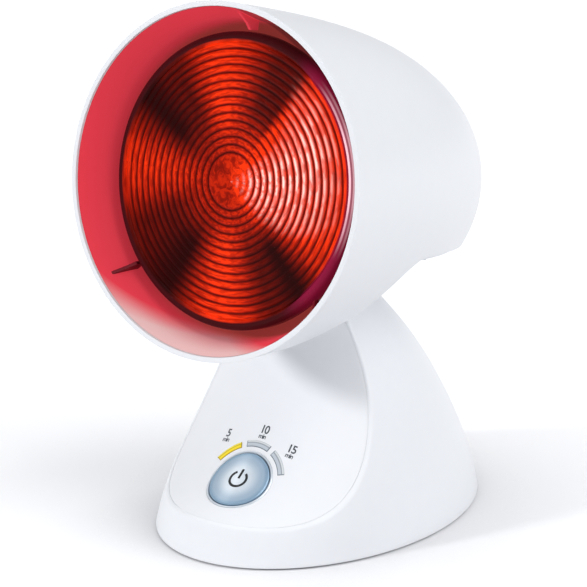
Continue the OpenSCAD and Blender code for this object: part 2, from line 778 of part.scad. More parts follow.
placed() head_shell();
placed() lamp_tub();
placed() head_underside();
placed() lamp_lens();
placed() lamp_reflector();
placed() lamp_filament();
placed() lamp_cap();
placed() lamp_holder();
placed() holder_bracket();
placed() thermal_cutout();
placed() lamp_leads();
placed() tilt_lug();
placed() lug_screws();
placed() underside_screws();
placed() friction_washers();
placed() base_shell();
placed() front_panel();
placed() bottom_plate();
placed() rubber_feet();
placed() base_screws();
placed() ballast_plate();
placed() neck_yoke();
placed() yoke_screws();
placed() hinge_pin();
placed() pin_clip();
placed() detent_spring();
placed() circuit_board();
placed() board_posts();
placed() timer_relay();
placed() capacitor();
placed() terminal_block();
placed() switch_body();
placed() indicator_leds();
placed() light_windows();
placed() button_bezel();
placed() cord_bush();
placed() button_cap();
placed() button_spring();
placed() switch_plunger();
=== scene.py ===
"""Infrared heat therapy lamp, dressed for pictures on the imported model's frame.

Front is -Y, up is +Z and X runs across, in metres. Sizes are written in millimetres.
"""

import logging
import math
from collections.abc import Callable, Iterator
from contextlib import contextmanager
from dataclasses import dataclass, field
from enum import Enum

import bpy
from mathutils import Matrix, Vector


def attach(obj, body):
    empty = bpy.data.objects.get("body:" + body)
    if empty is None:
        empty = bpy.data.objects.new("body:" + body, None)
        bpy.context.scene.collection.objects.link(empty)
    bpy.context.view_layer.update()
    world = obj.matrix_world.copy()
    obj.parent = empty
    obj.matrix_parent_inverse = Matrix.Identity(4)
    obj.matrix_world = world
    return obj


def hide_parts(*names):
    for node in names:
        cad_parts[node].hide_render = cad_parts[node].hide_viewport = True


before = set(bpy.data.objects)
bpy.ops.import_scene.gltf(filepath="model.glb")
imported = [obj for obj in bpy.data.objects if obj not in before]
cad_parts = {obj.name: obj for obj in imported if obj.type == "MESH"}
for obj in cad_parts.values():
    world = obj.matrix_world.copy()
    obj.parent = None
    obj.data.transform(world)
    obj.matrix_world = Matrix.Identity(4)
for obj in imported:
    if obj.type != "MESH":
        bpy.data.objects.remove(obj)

LOG = logging.getLogger("heat_lamp")
MM = 0.001
CENTRE_Y = 1.2  # the footprint's centre behind the origin


class Body(Enum):
    """The moving bodies that pieces ride on."""

    BASE = "base"
    HEAD = "head"
    BUTTON = "button"


# ---- Curves that the lamp's forms follow ----


def smooth_curve(points: list[tuple[float, float]], t: float) -> float:
    """Height at t of a smooth curve through points.

    Args:
        points: (place, height) pairs, in order of place.
        t: The place to read.

    Returns:
        The height there.
    """
    last = len(points) - 1
    i = 0
    while i < last - 1 and t > points[i + 1][0]:
        i += 1

    def slope(k: int) -> float:
        """Slope of the curve at point k."""
        a, b = points[max(0, k - 1)], points[min(last, k + 1)]
        return (b[1] - a[1]) / (b[0] - a[0])

    (t0, h0), (t1, h1) = points[i], points[i + 1]
    span = t1 - t0
    u = (t - t0) / span
    return (
        (2 * u**3 - 3 * u * u + 1) * h0
        + (u**3 - 2 * u * u + u) * span * slope(i)
        + (3 * u * u - 2 * u**3) * h1
        + (u**3 - u * u) * span * slope(i + 1)
    )


def spread(count: int, low: float, high: float) -> list[float]:
    """count + 1 even steps from low to high."""
    return [low + (high - low) * i / count for i in range(count + 1)]


def bisected(low: float, high: float, inside: Callable[[float], bool]) -> float:
    """Place between low, which is inside, and high, which isn't, where inside ends."""
    for _ in range(40):
        middle = (low + high) / 2
        low, high = (middle, high) if inside(middle) else (low, middle)
    return low


# ---- Modelling with operators ----


def deselect_all() -> None:
    """Leaves nothing selected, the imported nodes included."""
    bpy.ops.object.select_all(action="DESELECT")


def make_active(piece: bpy.types.Object) -> None:
    """Selects one piece alone and makes it active."""
    deselect_all()
    piece.select_set(True)
    bpy.context.view_layer.objects.active = piece


@contextmanager
def edit_mode(piece: bpy.types.Object, select: str = "SELECT") -> Iterator[None]:
    """Opens a piece in edit mode.

    Args:
        piece: The mesh to edit.
        select: SELECT or DESELECT, for all of it at the start.

    Yields:
        Nothing; the piece is back in object mode afterwards.
    """
    make_active(piece)
    bpy.ops.object.mode_set(mode="EDIT")
    bpy.ops.mesh.select_mode(type="VERT")
    bpy.ops.mesh.select_all(action=select)
    try:
        yield
    finally:
        bpy.ops.object.mode_set(mode="OBJECT")


def close_seams(piece: bpy.types.Object, gap: float = 0.002, recalculate: bool = True) -> None:
    """Merges doubled points and turns the faces of a closed mesh outwards.

    Args:
        piece: The mesh to close.
        gap: The largest gap to merge, in millimetres.
        recalculate: Whether the faces are turned too.
    """
    with edit_mode(piece):
        bpy.ops.mesh.remove_doubles(threshold=gap * MM)
        if recalculate:
            bpy.ops.mesh.normals_make_consistent(inside=False)


def apply_modifier(piece: bpy.types.Object, kind: str, **settings: object) -> None:
    """Adds a modifier to a piece with its settings, and applies it.

    Args:
        piece: The mesh to change.
        kind: The modifier's type, such as BEVEL.
        settings: Its properties by name.
    """
    make_active(piece)
    bpy.ops.object.modifier_add(type=kind)
    modifier = piece.modifiers[-1]
    for name, value in settings.items():
        setattr(modifier, name, value)
    bpy.ops.object.modifier_apply(modifier=modifier.name)


def round_edges(piece: bpy.types.Object, width: float, segments: int = 3, angle: float = 40) -> None:
    """Rounds a piece's sharp edges.

    Args:
        piece: The mesh to round.
        width: Width of the rounding in millimetres.
        segments: Faces across it.
        angle: Least angle of an edge that counts as sharp, in degrees.
    """
    apply_modifier(
        piece, "BEVEL", width=width * MM, segments=segments, limit_method="ANGLE",
        angle_limit=math.radians(angle), harden_normals=False,
    )


def cut_away(piece: bpy.types.Object, cutter: bpy.types.Object) -> None:
    """Takes the cutter's solid out of a piece, and the cutter out of the scene."""
    apply_modifier(piece, "BOOLEAN", operation="DIFFERENCE", solver="EXACT", object=cutter)
    bpy.data.objects.remove(cutter)


def shade(piece: bpy.types.Object, angle: float = 35) -> None:
    """Shades a piece smooth, but for edges sharper than angle degrees."""
    make_active(piece)
    bpy.ops.object.shade_smooth_by_angle(angle=math.radians(angle))


def settle(piece: bpy.types.Object, place: Matrix) -> None:
    """Moves a piece to its place and applies that to its mesh."""
    bpy.context.view_layer.update()
    piece.matrix_world = place @ piece.matrix_world
    make_active(piece)
    bpy.ops.object.transform_apply(location=True, rotation=True, scale=True)


def named(name: str) -> bpy.types.Object:
    """The active object, under a new name."""
    piece = bpy.context.active_object
    piece.name = piece.data.name = name
    return piece


def spun(
    name: str, outline: list[tuple[float, float]], steps: int = 128, degrees: float = 360
) -> bpy.types.Object:
    """Turns an outline about the Z axis, extruded point by point as by hand.

    Args:
        name: Name of the piece.
        outline: (radius, height) points in millimetres.
        steps: Steps of the turn.
        degrees: The turn's angle.

    Returns:
        The turned mesh, in metres.
    """
    deselect_all()
    bpy.ops.mesh.primitive_plane_add(size=MM)
    piece = named(name)
    points = [Vector((r * MM, 0, z * MM)) for r, z in outline]
    with edit_mode(piece):
        bpy.ops.mesh.merge(type="CENTER")
        bpy.ops.transform.translate(value=points[0])
        for a, b in zip(points, points[1:]):
            bpy.ops.mesh.extrude_vertices_move(TRANSFORM_OT_translate={"value": b - a})
        bpy.ops.mesh.select_all(action="SELECT")
        bpy.ops.mesh.spin(
            steps=steps, angle=-math.radians(degrees), center=(0, 0, 0), axis=(0, 0, 1)
        )
    close_seams(piece)
    return piece


def gridded(
    name: str, columns: int, rows: int, place: Callable[[float, float], Vector]
) -> bpy.types.Object:
    """Lays a grid primitive over a surface.

    Args:
        name: Name of the piece.
        columns: Faces along u.
        rows: Faces along v.
        place: Gives the point in millimetres for u and v from 0 to 1.

    Returns:
        The laid grid, in metres.
    """
    deselect_all()
    bpy.ops.mesh.primitive_grid_add(x_subdivisions=columns, y_subdivisions=rows, size=2)
    piece = named(name)
    for vertex in piece.data.vertices:
        u = round((vertex.co.x + 1) / 2 * columns) / columns
        v = round((vertex.co.y + 1) / 2 * rows) / rows
        vertex.co = place(u, v) * MM
    return piece


def face_away(piece: bpy.types.Object, inside: Vector) -> None:
    """Turns an open sheet's faces away from a point inside, in millimetres."""
    middle = inside * MM
    total = sum(f.normal.dot((f.center - middle).normalized()) * f.area for f in piece.data.polygons)
    if total < 0:
        with edit_mode(piece):
            bpy.ops.mesh.flip_normals()


def rounded_block(
    name: str, low: tuple[float, float, float], high: tuple[float, float, float], radius: float
) -> bpy.types.Object:
    """A block between two corners with rounded edges.

    Args:
        name: Name of the piece.
        low: Its lowest corner in millimetres.
        high: Its highest corner in millimetres.
        radius: Rounding of its edges in millimetres.

    Returns:
        The block, in metres.
    """
    deselect_all()
    middle = [(a + b) / 2 * MM for a, b in zip(low, high)]
    bpy.ops.mesh.primitive_cube_add(size=1, location=middle)
    block = named(name)
    block.scale = [(b - a) * MM for a, b in zip(low, high)]
    settle(block, Matrix.Identity(4))
    if radius:
        round_edges(block, radius)
    return block


def joined(name: str, pieces: list[bpy.types.Object]) -> bpy.types.Object:
    """Joins pieces into the first of them, under one name."""
    make_active(pieces[0])
    for piece in pieces[1:]:
        piece.select_set(True)
    bpy.ops.object.join()
    return named(name)


# ---- Node trees ----


def linear(hex_colour: str) -> tuple[float, float, float, float]:
    """Turns an sRGB hex colour into linear numbers.

    Args:
        hex_colour: Such as #E8ECF0.

    Returns:
        Linear red, green and blue, and an alpha of 1.
    """
    parts = [int(hex_colour[i : i + 2], 16) / 255 for i in (1, 3, 5)]
    return (*(p / 12.92 if p <= 0.04045 else ((p + 0.055) / 1.055) ** 2.4 for p in parts), 1.0)


def add_node(
    tree: bpy.types.NodeTree, kind: str, settings: dict | None = None, links: dict | None = None
) -> bpy.types.Node:
    """Adds a node with its settings and links.

    Args:
        tree: The material's or world's node tree.
        kind: The node's type.
        settings: Properties or input sockets, by name or number, and their values.
        links: Input sockets, by name or number, and the output sockets that feed them.

    Returns:
        The new node.
    """
    node = tree.nodes.new(kind)
    for name, value in (settings or {}).items():
        if isinstance(name, str) and hasattr(node, name):
            setattr(node, name, value)
        else:
            node.inputs[name].default_value = value
    for name, source in (links or {}).items():
        tree.links.new(source, node.inputs[name])
    return node


def calc(
    tree: bpy.types.NodeTree, operation: str, *values: bpy.types.NodeSocket | float, clamp: bool = False
) -> bpy.types.NodeSocket:
    """Works out a number from sockets and numbers with one Math node.

    Args:
        tree: The node tree.
        operation: The Math node's operation.
        values: Its inputs, in order.
        clamp: Whether the result is kept from 0 to 1.

    Returns:
        The result's socket.
    """
    fixed = {i: v for i, v in enumerate(values) if isinstance(v, (int, float))}
    fed = {i: v for i, v in enumerate(values) if not isinstance(v, (int, float))}
    node = add_node(tree, "ShaderNodeMath", {"operation": operation, "use_clamp": clamp, **fixed}, fed)
    return node.outputs[0]


def blended(
    tree: bpy.types.NodeTree,
    share: bpy.types.NodeSocket,
    first: bpy.types.NodeSocket | str,
    second: bpy.types.NodeSocket | str,
) -> bpy.types.NodeSocket:
    """Blends two colours.

    Args:
        tree: The node tree.
        share: How much of the second colour shows, from 0 to 1.
        first: A colour's socket or hex value.
        second: A colour's socket or hex value.

    Returns:
        The blended colour's socket.
    """
    node = add_node(tree, "ShaderNodeMix", {"data_type": "RGBA"}, {0: share})
    for number, colour in ((6, first), (7, second)):
        if isinstance(colour, str):
            node.inputs[number].default_value = linear(colour)
        else:
            tree.links.new(colour, node.inputs[number])
    return node.outputs[2]


def ramped(
    tree: bpy.types.NodeTree,
    source: bpy.types.NodeSocket,
    stops: list[tuple[float, float]],
    low: float = 0.0,
    high: float = 1.0,
) -> bpy.types.NodeSocket:
    """Maps a number through soft steps.

    Args:
        tree: The node tree.
        source: The number's socket.
        stops: (place, value) pairs between low and high, at most 32.
        low: The number at the ramp's start.
        high: The number at its end.

    Returns:
        The mapped number's socket.
    """
    span = add_node(
        tree, "ShaderNodeMapRange", {"From Min": low, "From Max": high}, {"Value": source}
    )
    ramp = add_node(tree, "ShaderNodeValToRGB", {}, {0: span.outputs[0]})
    line = ramp.color_ramp
    line.interpolation = "EASE"
    while len(line.elements) < len(stops):
        line.elements.new(0.5)
    for element, (place, value) in zip(line.elements, stops):
        element.position = (place - low) / (high - low)
        element.color = (value, value, value, 1)
    return ramp.outputs[0]


def own_coordinates(tree: bpy.types.NodeTree, place: Matrix | None = None) -> bpy.types.NodeSocket:
    """Object coordinates in millimetres, in the frame of a sub-assembly.

    Args:
        tree: The node tree.
        place: That frame in the row frame, or None for the row frame.

    Returns:
        The coordinates' socket.
    """
    source = add_node(tree, "ShaderNodeTexCoord").outputs["Object"]
    back = (place or Matrix.Identity(4)).inverted()
    turned = add_node(
        tree, "ShaderNodeMapping",
        {"Location": back.to_translation() / MM, "Rotation": back.to_euler(), "Scale": (1 / MM,) * 3},
        {"Vector": source},
    )
    return turned.outputs[0]


def polar_parts(tree: bpy.types.NodeTree, place: bpy.types.NodeSocket) -> list[bpy.types.NodeSocket]:
    """Splits a place in the head's frame.

    Args:
        tree: The node tree.
        place: Coordinates in millimetres, Y down and Z back from the rim.

    Returns:
        Sockets of the depth, the angle from the right upwards in degrees, and the radius.
    """
    right, down, depth = add_node(tree, "ShaderNodeSeparateXYZ", {}, {0: place}).outputs
    up = calc(tree, "MULTIPLY", down, -1.0)
    angle = calc(tree, "MULTIPLY", calc(tree, "ARCTAN2", up, right), 57.2958)
    square = calc(tree, "MULTIPLY_ADD", up, up, calc(tree, "MULTIPLY", right, right))
    return [depth, angle, calc(tree, "SQRT", square)]


# ---- Finishes, named for the real material and how it was made, some with painted light and shade ----


@dataclass(frozen=True)
class Finish:
    """A plain material with fine grain in its colour, gloss and surface."""

    name: str
    colour: str
    second_colour: str = ""
    roughness: float = 0.4
    roughness_spread: float = 0.06
    metallic: float = 0.0
    ior: float = 1.5
    specular: float = 0.5
    coat: float = 0.0
    grain_mm: float = 1.0
    bump_mm: float = 0.01
    stretch: tuple[float, float, float] = (1.0, 1.0, 1.0)

    def material(self) -> bpy.types.Material:
        """The finish's material, built once and shared."""
        known = bpy.data.materials.get(self.name)
        if known:
            return known
        material = bpy.data.materials.new(self.name)
        material.use_nodes = True
        tree = material.node_tree
        tree.nodes.clear()
        shader = add_node(
            tree, "ShaderNodeBsdfPrincipled",
            {
                "Base Color": linear(self.colour), "Roughness": self.roughness,
                "Metallic": self.metallic, "IOR": self.ior, "Specular IOR Level": self.specular,
                "Coat Weight": self.coat, "Coat Roughness": 0.06,
            },
        )
        self.pattern(tree, shader)
        add_node(tree, "ShaderNodeOutputMaterial", {}, {"Surface": shader.outputs[0]})
        return material

    def pattern(self, tree: bpy.types.NodeTree, shader: bpy.types.Node) -> None:
        """Feeds the shader its grain.

        Args:
            tree: The material's node tree.
            shader: Its principled shader.
        """
        place = own_coordinates(tree)
        grain = self.grain(tree, place)
        low, high = self.roughness - self.roughness_spread, self.roughness + self.roughness_spread
        gloss = add_node(
            tree, "ShaderNodeMapRange", {"To Min": max(0.02, low), "To Max": high}, {"Value": grain}
        )
        tree.links.new(gloss.outputs[0], shader.inputs["Roughness"])
        if self.second_colour:
            colour = blended(tree, grain, self.colour, self.second_colour)
            tree.links.new(colour, shader.inputs["Base Color"])
        self.roughen(tree, shader, grain)

    def grain(self, tree: bpy.types.NodeTree, place: bpy.types.NodeSocket) -> bpy.types.NodeSocket:
        """Noise whose grains are grain_mm across, from 0 to 1.

        Args:
            tree: The material's node tree.
            place: Coordinates in millimetres.

        Returns:
            The noise's socket.
        """
        spaced = add_node(tree, "ShaderNodeMapping", {"Scale": self.stretch}, {"Vector": place})
        noise = add_node(
            tree, "ShaderNodeTexNoise", {"Scale": 1 / self.grain_mm, "Detail": 3.0},
            {"Vector": spaced.outputs[0]},
        )
        return noise.outputs[0]

    def roughen(
        self, tree: bpy.types.NodeTree, shader: bpy.types.Node, height: bpy.types.NodeSocket
    ) -> None:
        """Turns a height from 0 to 1 into fine relief bump_mm deep.

        Args:
            tree: The material's node tree.
            shader: Its principled shader.
            height: The height's socket.
        """
        bump = add_node(
            tree, "ShaderNodeBump", {"Distance": self.bump_mm * MM, "Strength": 1.0}, {"Height": height}
        )
        tree.links.new(bump.outputs[0], shader.inputs["Normal"])


# ABS for the casings, injection-moulded in a polished mould: a cool white with a soft, wide
# gloss and the faintest orange peel, about 3 mm across
CASING_ABS = Finish(
    "moulded_white_abs", "#EEF0F4", "#F1F3F6", roughness=0.34, roughness_spread=0.03, ior=1.54,
    grain_mm=5.0, bump_mm=0.0015,
)
# ABS for the panel, moulded in a mirror-finished mould: whiter and glossier than the casing
PANEL_ABS = Finish(
    "moulded_gloss_abs", "#EFF1F4", "#F2F3F6", roughness=0.24, roughness_spread=0.03, ior=1.54,
    grain_mm=6.0, bump_mm=0.0012,
)
# Polypropylene for the bottom plate, moulded with a spark-eroded grain of 0.8 mm: dull grey
PLATE_PP = Finish(
    "grained_grey_polypropylene", "#6E757C", "#7C838A", roughness=0.55, grain_mm=0.8, bump_mm=0.03,
    ior=1.49,
)
# Natural rubber feet and bush, compression-moulded: near black, with a bloom that dulls it
RUBBER = Finish(
    "moulded_black_rubber", "#1D1E20", "#2A2B2E", roughness=0.72, grain_mm=0.6, bump_mm=0.02, ior=1.52,
)
# Zinc-plated steel, tumbled: a bright, slightly blue metal with streaks along the part
ZINC_STEEL = Finish(
    "zinc_plated_steel", "#C3C8CE", "#AEB4BC", roughness=0.3, metallic=1.0, grain_mm=0.5,
    bump_mm=0.004, stretch=(1.0, 1.0, 0.2),
)
# Spring steel, blued by its heat treatment: darker, with a drawn grain
SPRING_STEEL = Finish(
    "blued_spring_steel", "#8A8D92", "#74777D", roughness=0.34, metallic=1.0, grain_mm=0.4,
    bump_mm=0.003, stretch=(1.0, 0.2, 1.0),
)
# Zinc alloy, die-cast and shot-blasted: grey with a sandy dullness
DIE_CAST = Finish(
    "blasted_zinc_casting", "#B4B7BB", "#A2A5AA", roughness=0.48, metallic=1.0, grain_mm=0.7,
    bump_mm=0.02,
)
# Rolled brass of a screw cap: warm yellow with a worn shine
BRASS = Finish(
    "rolled_brass", "#CBAA62", "#B8954E", roughness=0.28, metallic=1.0, grain_mm=1.2, bump_mm=0.004,
)
# Steatite of the lamp holder, pressed and glazed: ivory under a thin glass coat
STEATITE = Finish(
    "glazed_steatite", "#E9E3D5", "#DED7C6", roughness=0.34, grain_mm=1.5, bump_mm=0.01, coat=0.6,
    ior=1.6,
)
# Polyamide with glass fibre, moulded: pale grey with a fibrous, satin skin
FIBRE_PA = Finish(
    "glass_filled_polyamide", "#BCC1C6", "#B0B5BB", roughness=0.5, grain_mm=0.9, bump_mm=0.015,
    stretch=(1.0, 1.0, 0.3), ior=1.53,
)
# Acetal washer, turned: dark and waxy
ACETAL = Finish("turned_black_acetal", "#3A3D42", "#43464C", roughness=0.38, grain_mm=0.5, bump_mm=0.006)
# Phenolic moulding of switch and cut-out: black with a dull shine
PHENOLIC = Finish("moulded_phenolic", "#232428", "#2E2F34", roughness=0.44, grain_mm=0.7, bump_mm=0.01)
# Silicone sleeve on glass braid: warm grey and dry
SILICONE = Finish("silicone_sleeve", "#B9B3A9", "#ABA59B", roughness=0.6, grain_mm=0.7, bump_mm=0.03)
# Glass-epoxy board under green solder resist: the weave shows as a fine grain
BOARD = Finish(
    "green_solder_resist", "#1F6B43", "#2A7A4E", roughness=0.35,
    grain_mm=0.6, bump_mm=0.01, coat=0.3,
)
# PBT of the relay's case, moulded: deep blue, half gloss
RELAY_PBT = Finish("moulded_blue_pbt", "#26477F", "#2C4E89", roughness=0.36, grain_mm=0.8, bump_mm=0.008)
# Polyamide of the terminal block, moulded: green, satin
BLOCK_PA = Finish(
    "moulded_green_polyamide", "#2F7D57", "#38875F", roughness=0.45,
    grain_mm=0.8, bump_mm=0.012,
)
# Epoxy of the indicator lamps, cast: pale yellow and clear-looking
EPOXY = Finish("cast_epoxy", "#EBDDA0", "#F1E6B4", roughness=0.15, grain_mm=1.0, bump_mm=0.002, coat=0.5)
# Aluminium mirror evaporated onto the pressed glass of the lamp: grey silver under glass
MIRROR_GLASS = Finish(
    "aluminised_pressed_glass", "#C9C6C4", "#BDBAB8", roughness=0.16, metallic=1.0, grain_mm=2.5,
    bump_mm=0.006, coat=0.5,
)
# Tungsten wire and its molybdenum posts, drawn: dark grey metal
TUNGSTEN = Finish(
    "drawn_tungsten", "#77777C", "#66666B", roughness=0.4, metallic=1.0,
    grain_mm=0.3, bump_mm=0.004,
)
# Satin chromium on the button's ring, plated on brushed plastic: pale with a blue cast
CHROME = Finish(
    "satin_chromium", "#E3E9EF", "#DAE1E8", roughness=0.3, roughness_spread=0.04, metallic=0.7,
    grain_mm=2.0, bump_mm=0.001,
)
# Ink of the numbers, pad-printed: grey black with a soft edge and little gloss
PRINT_INK = Finish("pad_printed_ink", "#3C4046", "#4A4F56", roughness=0.5, grain_mm=0.3, bump_mm=0.003)
# Ink of the power symbol, pad-printed on the lacquer: nearly black
SYMBOL_INK = Finish(
    "pad_printed_symbol_ink", "#0D1013", "#14181C", roughness=0.4,
    grain_mm=0.3, bump_mm=0.003,
)


class Lamp(Enum):
    """State of an indicator window."""

    ON = "on"
    OFF = "off"


@dataclass(frozen=True)
class FramedAcrylic(Finish):
    """Frosted acrylic of a window, a bar with a bevelled back: darker lines painted along its edges and
    middle, and a painted highlight on its paler outer half.
    """

    place: Matrix = field(default_factory=lambda: Matrix.Identity(4), compare=False)
    edge: str = "#7D858C"
    radii: tuple[float, float] = (16.9, 19.9)
    middle_angle: float = 90
    half_angle: float = 18.5
    glow_strength: float = 0.0

    @classmethod
    def for_lamp(cls, state: Lamp, degrees: float, controls: "Controls") -> "FramedAcrylic":
        """The window's finish with its lamp on or off.

        Args:
            state: Whether the lamp behind it is on.
            degrees: The window's middle, from the right, up the slope.
            controls: The controls that it belongs to.

        Returns:
            The finish.
        """
        # Acrylic, moulded and frosted inside: grey with a glassy face, or an even, deep yellow
        if state is Lamp.ON:
            colours = {
                "colour": "#EBCF1C", "second_colour": "#F2E04A", "edge": "#9C8410",
                "glow_strength": 0.2,
            }
        else:
            colours = {"colour": "#C3CBD3", "second_colour": "#DEE2E4", "edge": "#7C858D"}
        return cls(
            f"frosted_acrylic_{state.value}_{degrees:g}", roughness=0.2, coat=0.5, ior=1.49, bump_mm=0.001,
            place=controls.scoop.place(), radii=controls.window_radii, middle_angle=degrees,
            half_angle=controls.window_half_angle, **colours,
        )

    def pattern(self, tree: bpy.types.NodeTree, shader: bpy.types.Node) -> None:
        """Feeds the shader its painted darker lines, its painted highlight on the paler outer half and the
        lamp's glow.
        """
        place = own_coordinates(tree, self.place)
        across, along, _ = add_node(tree, "ShaderNodeSeparateXYZ", {}, {0: place}).outputs
        square = calc(tree, "MULTIPLY_ADD", across, across, calc(tree, "MULTIPLY", along, along))
        reach = calc(tree, "SQRT", square)
        low, high = self.radii
        angle = calc(tree, "MULTIPLY", calc(tree, "ARCTAN2", along, across), 57.2958)
        off_angle = calc(tree, "ABSOLUTE", calc(tree, "SUBTRACT", angle, self.middle_angle))
        # Darker lines painted along the edges and the middle
        lines = ramped(
            tree, reach,
            [(low, 1.0), (low + 0.25, 1.0), (low + 0.5, 0.05), (low + 1.5, 0.0), (low + 1.8, 0.7),
                          (low + 2.05, 0.7), (low + 2.3, 0.05), (high - 0.25, 0.1), (high, 0.8)], low, high,
        )
        end = ramped(
            tree, off_angle, [(self.half_angle - 1.3, 0.0), (self.half_angle - 0.5, 1.0)], 0, self.half_angle
        )
        # Painted highlight: the outer half paler
        outer = ramped(tree, reach, [(low + 1.6, 0.0), (low + 2.1, 1.0)], low, high)
        inside = blended(tree, outer, self.colour, self.second_colour)
        colour = blended(tree, calc(tree, "MAXIMUM", lines, end), inside, self.edge)
        tree.links.new(colour, shader.inputs["Base Color"])
        tree.links.new(colour, shader.inputs["Emission Color"])
        shader.inputs["Emission Strength"].default_value = self.glow_strength


@dataclass(frozen=True)
class BrightPaper(Finish):
    """Paper that the camera sees brighter than its light makes it, with painted contact shade where the
    brightening fades in corners and gaps.
    """

    lift: float = 0.36
    contact_shade_mm: float = 110

    def pattern(self, tree: bpy.types.NodeTree, shader: bpy.types.Node) -> None:
        """Adds the lift, for what the camera sees directly or mirrored, faded near other things as painted
        contact shade.
        """
        path = add_node(tree, "ShaderNodeLightPath")
        seen = calc(tree, "MAXIMUM", path.outputs["Is Camera Ray"], path.outputs["Is Glossy Ray"])
        # Painted contact shade: the lift fades where other things are near
        open_sky = add_node(
            tree, "ShaderNodeAmbientOcclusion", {"samples": 8, "Distance": self.contact_shade_mm * MM}
        ).outputs["AO"]
        lift = calc(tree, "MULTIPLY", calc(tree, "POWER", open_sky, 3.0), self.lift)
        tree.links.new(calc(tree, "MULTIPLY", seen, lift), shader.inputs["Emission Strength"])
        shader.inputs["Emission Color"].default_value = (1, 1, 1, 1)


# Heat-proof plastic of the fins, moulded, coloured dark red as painted red lamp light and painted shade
# behind the glass's edge
FIN_PAINTED_LIGHT_AND_SHADE = Finish(
    "fin_plastic_painted_light_and_shade", "#7C1B27", "#6B1722", roughness=0.4,
    grain_mm=2.0, bump_mm=0.002, specular=0.15,
)
# Matt background paper, laid flat: about three quarters of the light comes back from it
STUDIO_PAPER = BrightPaper("studio_paper", "#E1E1E3", roughness=0.9, specular=0.0)


@dataclass(frozen=True)
class PaintedLampLightCollar(Finish):
    """Heat-proof white plastic of the collar, with the lamp's red light painted into its colour and a glow
    though it is no lamp.
    """

    place: Matrix = field(default_factory=lambda: Matrix.Identity(4), compare=False)
    # Painted light and shade: the pale and pink colours paint light on the wedge below, the dark red paints
    # shade on the right, the brick red behind paints shade further in; glow makes the plastic glow though it
    # is no lamp
    pale: str = "#CDABAA"
    pink: str = "#C0787C"
    painted_shade_colour: str = "#5E2426"
    behind: str = "#A03E3A"
    glow: float = 0.5

    def pattern(self, tree: bpy.types.NodeTree, shader: bpy.types.Node) -> None:
        """Feeds the shader painted red lamp light, a painted pale wedge of light below, and painted shade on
        the right and further in.
        """
        place = own_coordinates(tree, self.place)
        depth, angle, _ = polar_parts(tree, place)
        # Painted light: a pale wedge at the bottom, near the rim
        aside = calc(
            tree, "MAXIMUM", calc(tree, "MULTIPLY_ADD", angle, -1 / 52, -90 / 52),
            calc(tree, "MULTIPLY_ADD", angle, 1 / 33, 90 / 33),
        )
        wedge = calc(tree, "SUBTRACT", calc(tree, "MULTIPLY_ADD", depth, -1 / 36, 1.0), aside)
        tint = blended(tree, ramped(tree, depth, [(4, 0.0), (20, 1.0)], 0, 24), self.pale, self.pink)
        lit = blended(tree, calc(tree, "MULTIPLY", wedge, 2.6, clamp=True), self.colour, tint)
        # Painted shade further into the collar
        lit = blended(tree, ramped(tree, depth, [(20, 0.0), (28, 1.0)], 0, 40), lit, self.behind)
        # Painted shade on the collar's right side, by angle
        shaded = ramped(
            tree, angle, [(-180, 0.0), (-64, 0.0), (-54, 0.6), (-20, 1.0), (45, 1.0), (62, 0.9),
                          (87, 0.75), (88.5, 0.1), (112, 0.0), (180, 0.0)], -180, 180,
        )
        at_glass = ramped(tree, depth, [(0, 0.8), (8, 0.9), (15, 1.0)], 0, 24)
        colour = blended(tree, calc(tree, "MULTIPLY", shaded, at_glass), lit, self.painted_shade_colour)
        tree.links.new(colour, shader.inputs["Base Color"])
        # The painted colour also glows, though the collar is no lamp
        tree.links.new(colour, shader.inputs["Emission Color"])
        shader.inputs["Emission Strength"].default_value = self.glow
        self.roughen(tree, shader, self.grain(tree, place))


